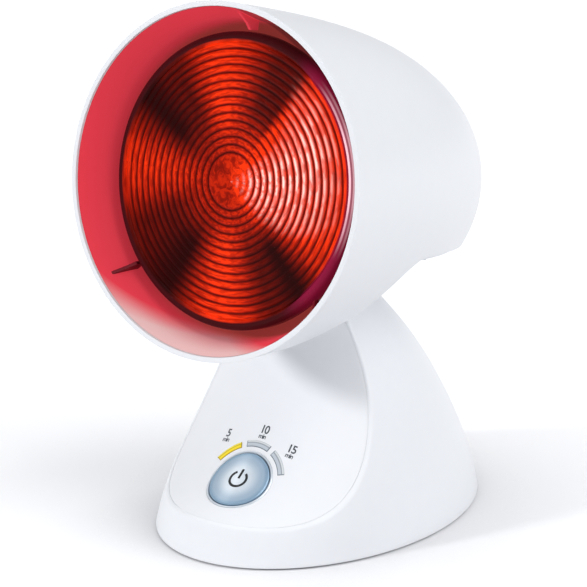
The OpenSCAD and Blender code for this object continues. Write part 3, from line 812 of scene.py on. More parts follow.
@dataclass(frozen=True)
class RingedGlass(Finish):
    """Pressed borosilicate glass, stained red, with the filament's light and its reflection painted in four
    bright sectors, and painted highlights.
    """

    place: Matrix = field(default_factory=lambda: Matrix.Identity(4), compare=False)
    # Painted light: the bright and middle colours paint the lamp's light in the sectors; the streak colour
    # and shine are painted highlights; the bead is painted crimson where light falls and near black in
    # painted shade on the far side
    bright: str = "#EA340E"
    middle: str = "#9E1A08"
    painted_streak_colour: str = "#FFDCD0"
    bead: str = "#7E1636"
    shaded_bead_colour: str = "#3A0E12"
    shine: str = "#F3C4CE"
    glow: float = 0.35
    first_ring: float = 11.8
    ring_pitch: float = 3.25

    def sectors(
        self, tree: bpy.types.NodeTree, angle: bpy.types.NodeSocket, reach: bpy.types.NodeSocket
    ) -> bpy.types.NodeSocket:
        """Painted light of the four sectors, which fade into an even glow near the middle."""
        outer = ramped(
            tree, angle,
            [(-180, 0.7), (-150, 0.1), (-120, 0.0), (-90, 0.9), (-60, 0.1), (-45, 0.0), (-20, 0.9), (50, 1.0),
             (60, 0.1), (70, 0.1), (105, 0.9), (130, 0.1), (150, 0.0), (180, 0.7)], -180, 180,
        )
        inner = ramped(
            tree, angle, [(-180, 0.42), (-100, 0.4), (-60, 0.5), (-40, 0.9), (45, 0.95), (70, 0.72),
                          (90, 0.5), (150, 0.36), (180, 0.42)], -180, 180,
        )
        out = ramped(tree, reach, [(0, 0.0), (12, 0.05), (34, 1.0)], 0, 60)
        return calc(
            tree, "ADD", calc(tree, "MULTIPLY", outer, out),
            calc(tree, "MULTIPLY", inner, calc(tree, "SUBTRACT", 1.0, out)),
        )

    def pattern(self, tree: bpy.types.NodeTree, shader: bpy.types.Node) -> None:
        """Feeds the shader its painted light sectors, its rings with painted shade in their grooves, painted
        highlight streaks and a bead with painted light and shade, all in the head's own frame.
        """
        place = own_coordinates(tree, self.place)
        _, angle, reach = polar_parts(tree, place)
        ring = calc(tree, "DIVIDE", calc(tree, "SUBTRACT", reach, self.first_ring), self.ring_pitch)
        wave = calc(
            tree, "MULTIPLY_ADD", calc(tree, "COSINE", calc(tree, "MULTIPLY", ring, 2 * math.pi)), 0.5, 0.5
        )
        ringed = ramped(tree, reach, [(8.5, 0.0), (10.5, 1.0), (54, 1.0), (56, 0.3)], 0, 60)
        groove = calc(tree, "MULTIPLY", calc(tree, "POWER", wave, 2.6), ringed)
        along = add_node(
            tree, "ShaderNodeCombineXYZ", {},
            {0: calc(tree, "DIVIDE", angle, 10.0), 1: calc(tree, "MULTIPLY", ring, 1.3)},
        )
        noise = add_node(
            tree, "ShaderNodeTexNoise", {"Scale": 1.0, "Detail": 2.0}, {"Vector": along.outputs[0]}
        ).outputs[0]
        thread = add_node(
            tree, "ShaderNodeCombineXYZ", {},
            {0: calc(tree, "DIVIDE", angle, 7.0), 1: calc(tree, "MULTIPLY", ring, 3.6)},
        )
        fine = add_node(
            tree, "ShaderNodeTexNoise", {"Scale": 1.0, "Detail": 1.0}, {"Vector": thread.outputs[0]}
        ).outputs[0]
        blotches = add_node(
            tree, "ShaderNodeTexNoise", {"Scale": 0.34, "Detail": 3.0, "Distortion": 1.2}, {"Vector": place}
        ).outputs[0]
        in_middle = ramped(tree, reach, [(0, 1.0), (9, 1.0), (12, 0.0)], 0, 60)
        uneven = add_node(
            tree, "ShaderNodeMix", {},
            {0: in_middle, 2: ramped(tree, fine, [(0.36, 0.62), (0.62, 1.05)]),
             3: ramped(tree, blotches, [(0.34, 0.5), (0.64, 1.1)])},
        ).outputs[0]
        light = calc(tree, "MULTIPLY", self.sectors(tree, angle, reach), uneven)
        # Painted shade in the ring grooves
        light = calc(tree, "MULTIPLY", light, calc(tree, "MULTIPLY_ADD", groove, -0.95, 1.08), clamp=True)
        low_half = blended(
            tree, calc(tree, "MULTIPLY", light, 2.6, clamp=True), self.colour, self.middle
        )
        glow = blended(
            tree, calc(tree, "MULTIPLY_ADD", light, 1.8, -0.62, clamp=True), low_half, self.bright
        )
        # Painted highlight streaks along the ring crests, on the right
        swept = calc(
            tree, "MULTIPLY_ADD",
            calc(tree, "MAXIMUM", calc(tree, "SUBTRACT", reach, 22.0), 0.0), -0.75, angle
        )
        in_sector = ramped(
            tree, swept, [(-180, 0.0), (-42, 0.0), (-30, 0.45), (-10, 0.85), (6, 1.0), (20, 0.85),
                          (32, 0.3), (42, 0.0), (180, 0.0)], -180, 180,
        )
        at_reach = ramped(
            tree, reach, [(0, 0.3), (6, 0.2), (11, 0.75), (18, 1.0), (42, 1.0), (50, 0.5), (56, 0.0)], 0, 60
        )
        broken = ramped(tree, noise, [(0.4, 0.3), (0.55, 1.0)])
        crest = calc(tree, "POWER", calc(tree, "SUBTRACT", 1.0, wave), 2.4)
        painted_streaks = calc(
            tree, "MULTIPLY", calc(tree, "MULTIPLY", in_sector, at_reach),
            calc(tree, "MULTIPLY", crest, broken),
        )
        glow = blended(tree, painted_streaks, glow, self.painted_streak_colour)
        # The bead: painted light on the right, crimson, and painted shade on the left, near black
        on_left = ramped(
            tree, angle, [(-180, 1.0), (-60, 1.0), (-40, 0.0), (50, 0.0), (66, 1.0), (180, 1.0)], -180, 180
        )
        start = calc(tree, "MULTIPLY_ADD", on_left, 1.6, 55.8)
        in_bead = calc(tree, "MULTIPLY", calc(tree, "SUBTRACT", reach, start), 1.4, clamp=True)
        rim = blended(tree, on_left, self.bead, self.shaded_bead_colour)
        colour = blended(tree, in_bead, glow, rim)
        # Painted highlight lines on the bead's right side
        beside = ramped(
            tree, angle, [(-180, 0.0), (-24, 0.0), (-8, 0.6), (2, 1.0), (22, 1.0), (36, 0.5), (52, 0.0),
                          (180, 0.0)], -180, 180,
        )
        on_bead = ramped(
            tree, reach, [(57.3, 0.0), (57.8, 1.0), (58.5, 1.0), (58.9, 0.15), (59.4, 0.15), (59.7, 0.7),
                          (60.1, 0.7), (60.4, 0.0)], 50, 61,
        )
        colour = blended(tree, calc(tree, "MULTIPLY", beside, on_bead), colour, self.shine)
        tree.links.new(colour, shader.inputs["Base Color"])
        tree.links.new(colour, shader.inputs["Emission Color"])
        shader.inputs["Emission Strength"].default_value = self.glow


@dataclass(frozen=True)
class ButtonLacquer(Finish):
    """Metallic blue lacquer, sprayed on the button, with flakes and a painted highlight that makes its middle
    paler.
    """

    place: Matrix = field(default_factory=lambda: Matrix.Identity(4), compare=False)
    # The pale colour is a painted highlight
    pale: str = "#E6EEF4"
    radius: float = 13.6

    def pattern(self, tree: bpy.types.NodeTree, shader: bpy.types.Node) -> None:
        """Feeds the shader its painted highlight in the paler middle and its flakes."""
        place = own_coordinates(tree, self.place)
        part = add_node(tree, "ShaderNodeSeparateXYZ", {}, {0: place})
        across, along, _ = part.outputs
        reach = calc(
            tree, "SQRT", calc(tree, "ADD", calc(tree, "MULTIPLY", across, across),
                               calc(tree, "MULTIPLY", along, along)),
        )
        # Painted highlight: paler towards the middle
        middle = ramped(tree, reach, [(0, 1.0), (5, 0.85), (11, 0.25), (13, 0.0)], 0, self.radius)
        colour = blended(tree, middle, self.colour, self.pale)
        flakes = self.grain(tree, place)
        speckled = blended(tree, calc(tree, "MULTIPLY", flakes, 0.18), colour, "#E6EEF6")
        tree.links.new(speckled, shader.inputs["Base Color"])
        self.roughen(tree, shader, flakes)


# ---- Frames of the sub-assemblies ----


def frame_at(y: float, z: float, degrees: float) -> Matrix:
    """A frame in the X = 0 plane.

    Args:
        y: Its origin behind the footprint's centre, in millimetres.
        z: Its origin's height in millimetres.
        degrees: Its turn about X.

    Returns:
        The frame in the row frame, in metres.
    """
    turn = Matrix.Rotation(math.radians(degrees), 4, "X")
    return Matrix.Translation((0, (y + CENTRE_Y) * MM, z * MM)) @ turn


HEAD_PLACE = frame_at(-75.6, 161.7, -100.5)
BASE_PLACE = frame_at(0, 0, 0)


def hand_over(
    piece: bpy.types.Object, body: Body, replaces: tuple[str, ...] = (),
    finish: Finish | None = None
) -> None:
    """Dresses a finished piece and fixes it to its body.

    Args:
        piece: The piece, in its place.
        body: The body that it rides on.
        replaces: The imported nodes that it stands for.
        finish: Its material, or None where it has its own already.
    """
    if finish:
        piece.data.materials.clear()
        piece.data.materials.append(finish.material())
    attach(piece, body.value)
    if replaces:
        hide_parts(*replaces)
    LOG.info("%s rides on %s with %d faces", piece.name, body.value, len(piece.data.polygons))


def dress_node(name: str, finish: Finish) -> None:
    """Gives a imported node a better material, with its shape as it is."""
    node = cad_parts[name]
    material = finish.material()
    if not node.material_slots:
        node.data.materials.append(material)
    for slot in node.material_slots:
        slot.material = material
    LOG.info("%s keeps its shape, in %s", name, finish.name)


def softened(name: str, node: str, width: float, segments: int = 2) -> bpy.types.Object:
    """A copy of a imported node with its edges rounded.

    Args:
        name: Name of the piece.
        node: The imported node.
        width: Width of the rounding in millimetres.
        segments: Faces across it.

    Returns:
        The rounded copy, in place.
    """
    deselect_all()
    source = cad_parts[node]
    piece = bpy.data.objects.new(name, source.data.copy())
    bpy.context.scene.collection.objects.link(piece)
    for key in list(piece.keys()):
        del piece[key]
    close_seams(piece, recalculate=False)
    with edit_mode(piece):
        bpy.ops.mesh.dissolve_limited(angle_limit=math.radians(0.5))
    apply_modifier(
        piece, "BEVEL", width=width * MM, segments=segments, limit_method="ANGLE",
        angle_limit=math.radians(35), use_clamp_overlap=True,
    )
    shade(piece)
    return piece


# ---- Head ----


@dataclass
class Head:
    """The tilting head: casing, collar with painted lamp light, lamp and hinge lug."""

    radius: float = 73
    depth: float = 164
    wall: float = 2.2
    cut: tuple[tuple[float, float], ...] = ((74, -23.4), (50, -23.4), (48, -52), (8, -67))
    taper: tuple[float, float, float] = (0.333, -0.126, 0.793)
    columns: int = 144
    housing: tuple[tuple[float, float], ...] = (
        (1, 70.6), (16, 66.6), (24, 65), (36, 60.5), (50, 54), (62, 47), (72, 40.8), (84, 33),
        (95, 27.2), (108, 23), (122, 22.4), (148, 22),
    )
    housing_wall: float = 2
    fin_angles: tuple[float, ...] = (90, 222, 318)
    glass_radius: float = 61
    glass_place: float = 13.4
    glass_crown: float = 2.6
    ring_start: float = 11.8
    ring_pitch: float = 3.25
    ring_count: int = 14
    ring_depth: float = 0.6

    def radius_at(self, s: float, radius: float = 0, depth: float = 0) -> float:
        """Radius of the casing's outside at depth s behind the rim."""
        t = min(1.0, s / (depth or self.depth))
        a, b, c = self.taper
        return (radius or self.radius) * math.sqrt(max(0.0, 1 - (a * t + b * t * t + c * t**3)))

    def cut_height(self, s: float) -> float:
        """Height of the side cut's edge over the axis at depth s.

        Args:
            s: Depth behind the rim, in millimetres.

        Returns:
            The height, which is below the casing where there is no cut.
        """
        p0, p1, p2, p3 = self.cut
        if s >= p0[0]:
            return p0[1]
        if s <= p3[0]:
            return p3[1] - (p3[0] - s) * 8 / 3

        def point(u: float, k: int) -> float:
            """Coordinate k of the cut's curve at u."""
            return (
                (1 - u) ** 3 * p0[k] + 3 * (1 - u) ** 2 * u * p1[k]
                + 3 * (1 - u) * u * u * p2[k] + u**3 * p3[k]
            )

        u = bisected(0, 1, lambda value: point(value, 0) > s)
        return point(u, 1)

    def opening(self, s: float) -> float:
        """Angle from the top, in degrees, at which the casing ends at depth s."""
        r = self.radius_at(s)
        height = self.cut_height(s)
        return 180.0 if r <= -height else math.degrees(math.acos(height / r))

    def casing(self) -> bpy.types.Object:
        """The outer casing: a sheet laid over the head's form, thickened and rounded."""
        start = bisected(1, 30, lambda s: self.opening(s) >= 180)
        end = bisected(self.depth - 0.01, 120, lambda s: self.opening(s) >= 180)
        depths = [start * math.sin(math.radians(90 * i / 8)) for i in range(8)]
        middle = [start + (40 - start) * (i / 26) ** 2 for i in range(27)]
        middle += [40 + (110 - 40) * i / 26 for i in range(1, 27)]
        middle += [end - (end - 110) * (1 - i / 24) ** 2 for i in range(1, 25)]
        rear = [
            self.depth - (self.depth - end) * (1 - i / 8) ** 2 for i in range(1, 9)
        ]
        rows = depths + middle + rear

        def place(u: float, v: float) -> Vector:
            """Point of the casing's outside at u across and v back."""
            s = rows[round(v * (len(rows) - 1))]
            span = self.opening(s) if start < s < end else 180.0
            angle = math.radians((2 * u - 1) * span)
            r = self.radius_at(s)
            return Vector((r * math.sin(angle), -r * math.cos(angle), s))

        shell = gridded("head_casing", self.columns, len(rows) - 1, place)
        close_seams(shell, gap=0.01, recalculate=False)
        face_away(shell, Vector((0, 0, 70)))
        apply_modifier(shell, "SOLIDIFY", thickness=self.wall * MM, offset=-1.0, use_even_offset=False)
        round_edges(shell, 0.75, segments=4, angle=55)
        shade(shell, 40)
        settle(shell, HEAD_PLACE)
        return shell

    def housing_radius(self, s: float, grow: float = 0) -> float:
        """Radius of the housing's inside at depth s, moved out by grow."""
        limit = self.radius_at(s, self.radius - self.wall, self.depth - self.wall * 1.15) - 0.12
        inner = smooth_curve(list(self.housing), s)
        return min(inner + grow, limit) if grow else inner

    def fin(self, angle: float) -> bpy.types.Object:
        """One fin that centres the lamp in the collar.

        Args:
            angle: Its place round the axis, in degrees from the right, upwards.

        Returns:
            The fin, in the head's frame.
        """
        corners = [(70.2, 5), (68.6, 20.5), (61.8, 20.5), (61.8, 15.6), (64.6, 13)]
        deselect_all()
        bpy.ops.mesh.primitive_circle_add(vertices=len(corners), radius=MM, fill_type="NGON")
        fin = named("lamp_fin")
        for vertex, (r, s) in zip(fin.data.vertices, corners):
            vertex.co = Vector((r, -0.8, s)) * MM
        with edit_mode(fin):
            bpy.ops.mesh.extrude_region_move(TRANSFORM_OT_translate={"value": (0, 1.6 * MM, 0)})
            bpy.ops.mesh.select_all(action="SELECT")
            bpy.ops.mesh.normals_make_consistent(inside=False)
        round_edges(fin, 0.35)
        settle(fin, Matrix.Rotation(math.radians(-angle), 4, "Z"))
        return fin

    def collar(self) -> bpy.types.Object:
        """The housing round the lamp: collar with painted lamp light and shade, heat shield, hinge pad and
        fins.
        """
        places = spread(12, 1, 24) + spread(40, 27, 148)
        inside = [(self.housing_radius(s), s) for s in places]
        outside = [(self.housing_radius(s, self.housing_wall), s) for s in reversed(places)]
        wall = spun("lamp_housing", inside + outside + inside[:1], steps=144)
        pad = rounded_block("hinge_pad", (-15.5, 20, 84), (15.5, 33.4, 107), 1.0)
        pieces = [wall, pad] + [self.fin(a) for a in self.fin_angles]
        # The collar's red is painted lamp light on white plastic, with painted shade
        lit = PaintedLampLightCollar(
            "collar_plastic_painted_lamp_light", "#D23A48", roughness=0.4, grain_mm=4.0, bump_mm=0.002,
            place=HEAD_PLACE, ior=1.54, specular=0.15,
        )
        for piece in pieces:
            piece.data.materials.append(lit.material())
            piece.data.materials.append(CASING_ABS.material())
            piece.data.materials.append(FIN_PAINTED_LIGHT_AND_SHADE.material())
        # The fins take the painted red light and shade
        for fin in pieces[3:]:
            for face in fin.data.polygons:
                face.material_index = 2
        for face in wall.data.polygons:
            outward = face.center.xy.dot(face.normal.xy) > 0
            face.material_index = 1 if outward else 0
        for face in pad.data.polygons:
            face.material_index = 1
        housing = joined("lamp_housing", pieces)
        shade(housing, 40)
        settle(housing, HEAD_PLACE)
        return housing

    def dome(self, r: float) -> float:
        """How far the glass lies behind its middle at radius r."""
        ball = (self.glass_radius**2 + self.glass_crown**2) / (2 * self.glass_crown)
        return ball - math.sqrt(ball * ball - r * r)

    def glass(self) -> bpy.types.Object:
        """The lamp's pressed front, with its rings and the bead round its edge."""
        last_ring = self.ring_start + (self.ring_count - 1) * self.ring_pitch
        front = []
        for i in range(0, 176):
            r = 56.2 * i / 175
            ring = (r - self.ring_start) / self.ring_pitch
            if self.ring_start - 1.5 < r < last_ring + 1.5:
                wave = (0.5 + 0.5 * math.cos(2 * math.pi * ring)) ** 1.6
            else:
                wave = 0.0
            front.append((r, self.dome(r) + self.ring_depth * wave))
        bead = []
        for i in range(13):
            a = math.radians(-60 + 150 * i / 12)
            bead.append((58.6 + 2.4 * math.sin(a), 3.9 - 2.6 * math.cos(a)))
        back = [(61, 7), (60.2, 8.4), (56.4, 8.4), (50, 5.2), (30, 4.0), (0, 3.4)]
        outline = [(r, self.glass_place + s) for r, s in front + bead + back]
        glass = spun("lamp_glass", outline, steps=176)
        shade(glass, 50)
        settle(glass, HEAD_PLACE)
        return glass

    def build(self) -> None:
        """Builds and dresses the head."""
        hand_over(self.casing(), Body.HEAD, ("head_shell",), CASING_ABS)
        hand_over(self.collar(), Body.HEAD, ("lamp_tub",))
        glass_finish = RingedGlass(
            "stained_pressed_glass_painted_light", "#260505", roughness=0.14, specular=0.04,
            place=HEAD_PLACE, ior=1.47,
        )
        hand_over(self.glass(), Body.HEAD, ("lamp_lens",), glass_finish)
        hand_over(
            softened("underside_cover", "head_underside", 0.5), Body.HEAD,
            ("head_underside",), CASING_ABS,
        )
        hand_over(softened("hinge_lug", "tilt_lug", 0.5), Body.HEAD, ("tilt_lug",), DIE_CAST)
        for node, finish in (
            ("lamp_reflector", MIRROR_GLASS), ("lamp_filament", TUNGSTEN), ("lamp_cap", BRASS),
            ("lamp_holder", STEATITE), ("holder_bracket", ZINC_STEEL), ("thermal_cutout", PHENOLIC),
            ("lamp_leads", SILICONE), ("lug_screws", ZINC_STEEL), ("underside_screws", ZINC_STEEL),
            ("friction_washers", ACETAL),
        ):
            dress_node(node, finish)


# ---- Base ----


@dataclass
class Scoop:
    """The hollow in the base's front: a crowned surface turned about a line along X."""

    y: float = -108.9
    z: float = 100
    radius: float = 88.3
    crown: float = 98.4
    button_angle: float = 35.4

    def reach(self, x: float, grow: float = 0) -> float:
        """Distance of the surface from its line at x."""
        return self.radius + grow + self.crown - math.sqrt(self.crown**2 - x * x)

    def point(self, x: float, degrees: float, grow: float = 0) -> Vector:
        """Point of the surface at x and an angle from straight down."""
        r, a = self.reach(x, grow), math.radians(degrees)
        return Vector((x, self.y + r * math.sin(a), self.z - r * math.cos(a)))

    def is_behind(self, point: Vector, grow: float = 0) -> bool:
        """Whether a point lies in the base and not in the hollow."""
        return math.hypot(point.y - self.y, point.z - self.z) > self.reach(point.x, grow)

    def place(self) -> Matrix:
        """Frame of the button: its origin on the surface, Z out of it and Y up it."""
        middle = self.point(0, self.button_angle)
        return frame_at(middle.y, middle.z, self.button_angle)

    def height(self, x: float, y: float, grow: float = 0) -> float:
        """Height of the surface over that frame's XY plane."""
        return self.radius - math.sqrt(self.reach(x, grow) ** 2 - y * y)


@dataclass
class BaseForm:
    """The base's rounded body: ellipses that shrink and lean with height."""

    stations: tuple[tuple[float, float], ...] = (
        (0, 85.5), (14, 81.7), (40, 71), (70, 55.5), (98, 36.2), (112, 26),
    )
    aspect: float = 0.726
    aspect_fall: float = 0.00039
    lean: tuple[float, float] = (0.07, 0.00187)
    floor: float = 0.7
    hinge: tuple[float, float] = (5, 94)
    neck_radius: float = 14.6
    neck_front: float = 38
    neck_back: float = 30.5
    scoop: Scoop = field(default_factory=Scoop)

    def half_depth(self, z: float) -> float:
        """Half the body's depth at height z."""
        return smooth_curve(list(self.stations), z)

    def half_width(self, z: float) -> float:
        """Half the body's width at height z."""
        return (self.aspect - self.aspect_fall * z) * self.half_depth(z)

    def middle(self, z: float) -> float:
        """The ellipse's centre behind the footprint's centre at height z."""
        return self.lean[0] * z - self.lean[1] * z * z

    def point(self, degrees: float, z: float, inset: float = 0) -> Vector:
        """Point of the body's outside, moved in by inset."""
        a = math.radians(degrees)
        return Vector((
            (self.half_width(z) - inset) * math.cos(a),
            (self.half_depth(z) - inset) * math.sin(a) + self.middle(z),
            z,
        ))

    def neck_height(self, y: float, drop: float = 0) -> float:
        """Height of the neck's rounded top over y, with its form moved in by drop."""
        r = self.neck_radius - drop
        u = y - self.hinge[0]
        front, back = math.radians(90 + self.neck_front), math.radians(90 - self.neck_back)
        if u < r * math.cos(front):
            rise = r * math.sin(front) + (u - r * math.cos(front)) * math.tan(math.radians(self.neck_front))
        elif u > r * math.cos(back):
            rise = r * math.sin(back) - (u - r * math.cos(back)) * math.tan(math.radians(self.neck_back))
        else:
            rise = math.sqrt(r * r - u * u)
        return self.hinge[1] + rise

    def top(self, degrees: float, inset: float = 0, grow: float = 0) -> float:
        """Height at which the body's side ends, at the scoop or at the neck's top.

        Args:
            degrees: Angle round the body from the right, backwards.
            inset: How far the side is moved in.
            grow: How far the scoop and the neck's top are moved into the body.

        Returns:
            The height in millimetres.
        """
        def is_solid(z: float) -> bool:
            """Whether the side is still there at height z."""
            p = self.point(degrees, z, inset)
            return z < self.neck_height(p.y, grow) and self.scoop.is_behind(p, grow)

        low = self.floor
        while low < 112 and is_solid(low + 1.5):
            low += 1.5
        return bisected(low, min(112, low + 1.5), is_solid)


@dataclass
class Base:
    """The fixed base: casing, panel, hinge and the parts inside."""

    form: BaseForm = field(default_factory=BaseForm)
    wall: float = 2.4
    panel_wall: float = 2.4
    panel_margin: float = 1.0
    slot_half: float = 8
    slot_front: float = -11.5
    slot_rear: float = 20.5
    half_columns: int = 96
    cord_height: float = 15

    def column_angles(self) -> list[float]:
        """Angles of the casing's columns, closer where its upper edge is steep."""
        fine = spread(360, -90, 90)
        tops = [self.form.point(a, self.form.top(a)) for a in fine]
        lengths = [0.0]
        for k in range(1, len(fine)):
            lengths.append(lengths[-1] + (tops[k] - tops[k - 1]).length + 0.55)
        angles = []
        for target in spread(self.half_columns, 0, lengths[-1]):
            k = next(i for i in range(1, len(fine)) if lengths[i] >= target - 1e-9)
            share = (target - lengths[k - 1]) / (lengths[k] - lengths[k - 1])
            angles.append(fine[k - 1] + (fine[k] - fine[k - 1]) * share)
        return angles + [180 - a for a in reversed(angles[:-1])]

    def casing_walls(self) -> bpy.types.Object:
        """The casing's wall as one closed sheet: outside, rounded edge, panel rebate and inside."""
        form, soft = self.form, 0.7
        angles = self.column_angles()
        rebate = self.panel_wall + 0.1
        edge = [
            (soft * (1 - math.cos(math.radians(a))), soft * (1 - math.sin(math.radians(a))))
            for a in (0, 22.5, 45, 67.5, 90)
        ]
        edge += [(self.panel_margin, 0.0), (self.panel_margin + 0.08, 0.1),
                 (self.panel_margin + 0.08, rebate), (self.wall, rebate)]
        table: list[list[Vector]] = []
        for a in angles:
            top = form.top(a, 0, soft)
            low = form.floor
            column = [form.point(a, low, 0.7), form.point(a, low + 0.2, 0.2), form.point(a, low + 0.7, 0)]
            column += [form.point(a, low + 0.7 + (top - low - 0.7) * i / 34, 0) for i in range(1, 34)]
            column += [form.point(a, form.top(a, inset, grow), inset) for inset, grow in edge]
            inner_top = column[-1].z
            column += [form.point(a, inner_top + (low - inner_top) * i / 12, self.wall) for i in range(1, 13)]
            column.append(column[0].copy())
            table.append(column)
        columns, rows = len(angles) - 1, len(table[0]) - 1
        walls = gridded(
            "casing_walls", columns, rows, lambda u, v: table[round(u * columns)][round(v * rows)]
        )
        close_seams(walls)
        return walls

    def neck_roof(self) -> bpy.types.Object:
        """The rounded top of the neck, with the slot for the hinge lug."""
        form, inset = self.form, self.wall - 0.4

        def half_width(y: float) -> float:
            """Half the roof's width over y."""
            z = form.neck_height(y)
            part = (y - form.middle(z)) / (form.half_depth(z) - inset)
            return (form.half_width(z) - inset) * math.sqrt(max(0.0, 1 - part * part))

        def front(x: float) -> float:
            """The roof's front edge at x, where the scoop cuts it."""
            return bisected(20, -40, lambda y: form.scoop.is_behind(Vector((x, y, form.neck_height(y)))))

        def is_inside(y: float) -> bool:
            """Whether y lies in front of the roof's rear end."""
            z = form.neck_height(y)
            return y - form.middle(z) < form.half_depth(z) - inset

        rear = bisected(5, 60, is_inside)

        def place(u: float, v: float) -> Vector:
            """Point of the roof at u across and v back."""
            y = front(0) + (rear - front(0)) * v
            for _ in range(3):
                x = (2 * u - 1) * half_width(y)
                y = front(x) + (rear - front(x)) * v
            return Vector((x, y, form.neck_height(y)))

        roof = gridded("neck_roof", 40, 60, place)
        close_seams(roof, gap=0.01, recalculate=False)
        face_away(roof, Vector((0, 5, 60)))
        apply_modifier(roof, "SOLIDIFY", thickness=self.wall * MM, offset=-1.0)
        cut_away(roof, self.slot_cutter())
        return roof

    def slot_cutter(self) -> bpy.types.Object:
        """The block that opens the slot for the hinge lug."""
        low, high = (-self.slot_half, self.slot_front, 80), (self.slot_half, self.slot_rear, 130)
        return rounded_block("slot_cutter", low, high, 0.2)

    def casing(self) -> bpy.types.Object:
        """The whole base casing, with its hole for the cord's bush."""
        walls = self.casing_walls()
        deselect_all()
        bpy.ops.mesh.primitive_cylinder_add(
            vertices=48, radius=6.1 * MM, depth=30 * MM, location=(0, 80 * MM, self.cord_height * MM),
            rotation=(math.pi / 2, 0, 0),
        )
        cut_away(walls, bpy.context.active_object)
        cut_away(walls, self.slot_cutter())
        casing = joined("base_casing", [walls, self.neck_roof()])
        shade(casing, 40)
        settle(casing, BASE_PLACE)
        return casing

    def panel(self) -> bpy.types.Object:
        """The panel that lines the scoop, laid in rings from its outline to the button's hole."""
        form, scoop = self.form, self.form.scoop
        inset, hole = self.panel_margin + 0.05, 14.95
        rim: list[tuple[float, float]] = []
        for a in self.column_angles():
            p = form.point(a, form.top(a, inset), inset)
            on_scoop = math.degrees(math.atan2(p.y - scoop.y, scoop.z - p.z))
            if form.scoop.is_behind(p + Vector((0, 0.05, -0.05))) and abs(
                math.hypot(p.y - scoop.y, p.z - scoop.z) - scoop.reach(p.x)
            ) < 0.01:
                rim.append((p.x, on_scoop))
        split = next(i for i in range(1, len(rim)) if rim[i][0] < 0)
        right, left = rim[:split], rim[split:]
        top_y = [right[-1][0] + (left[0][0] - right[-1][0]) * i / 25 for i in range(1, 25)]
        across = []
        for x in top_y:
            angle = bisected(
                60, 95, lambda a, x=x: scoop.point(x, a).z < form.neck_height(scoop.point(x, a).y, 1.4)
            )
            across.append((x, angle))
        limit = across[0][1]
        outline = [(x, min(a, limit + 0.4)) for x, a in right] + across
        outline += [(x, min(a, limit + 0.4)) for x, a in left]
        middle = scoop.button_angle

        def place(u: float, v: float) -> Vector:
            """Point of the panel's face at u round it and v inwards."""
            x, a = outline[round(u * (len(outline) - 1))]
            along = (a - middle) * math.radians(1) * scoop.radius
            size = math.hypot(x, along)
            hx, hy = x / size * hole, along / size * hole
            ha = math.degrees(math.asin(hy / scoop.reach(hx)))
            share = v**0.9
            return scoop.point(x + (hx - x) * share, a + (middle + ha - a) * share)

        panel = gridded("control_panel", len(outline) - 1, 40, place)
        close_seams(panel, gap=0.02, recalculate=False)
        face_away(panel, Vector((0, 40, 0)))
        apply_modifier(panel, "SOLIDIFY", thickness=2.1 * MM, offset=-1.0)
        round_edges(panel, 0.15, segments=2, angle=60)
        shade(panel, 40)
        settle(panel, BASE_PLACE)
        return panel

    def foot(self, x: float, y: float) -> bpy.types.Object:
        """One rubber foot with a ring groove underneath.

        Args:
            x: Its place across.
            y: Its place behind the footprint's centre.

        Returns:
            The foot.
        """
        outline = [
            (0, 0.5), (3.2, 0.5), (3.6, 0.1), (3.9, 0), (6, 0), (6.6, 0.3), (7, 0.9), (7, 1.85), (0, 1.85),
        ]
        foot = spun("rubber_foot", outline, steps=48)
        shade(foot, 40)
        settle(foot, Matrix.Translation((x * MM, (y + CENTRE_Y) * MM, 0)))
        return foot

    def build(self) -> None:
        """Builds and dresses the base."""
        hand_over(self.casing(), Body.BASE, ("base_shell",), CASING_ABS)
        hand_over(self.panel(), Body.BASE, ("front_panel",), PANEL_ABS)
        hand_over(
            softened("base_plate", "bottom_plate", 0.4), Body.BASE, ("bottom_plate",), PLATE_PP
        )
        feet = joined("feet", [self.foot(x, y) for x, y in ((30, -58), (-30, -58), (34, 48), (-34, 48))])
        hand_over(feet, Body.BASE, ("rubber_feet",), RUBBER)
        hand_over(
            softened("inlet_bush", "cord_bush", 0.5, 3), Body.BASE, ("cord_bush",), RUBBER
        )
        hand_over(
            softened("hinge_clevis", "neck_yoke", 0.5), Body.BASE, ("neck_yoke",), FIBRE_PA
        )
        for node, finish in (
            ("base_screws", ZINC_STEEL), ("ballast_plate", ZINC_STEEL), ("yoke_screws", ZINC_STEEL),
            ("hinge_pin", ZINC_STEEL), ("pin_clip", SPRING_STEEL), ("detent_spring", SPRING_STEEL),
            ("circuit_board", BOARD), ("board_posts", CASING_ABS), ("timer_relay", RELAY_PBT),
            ("capacitor", PHENOLIC), ("terminal_block", BLOCK_PA), ("switch_body", PHENOLIC),
            ("indicator_leds", EPOXY), ("button_spring", SPRING_STEEL),
        ):
            dress_node(node, finish)


# ---- Controls on the panel ----


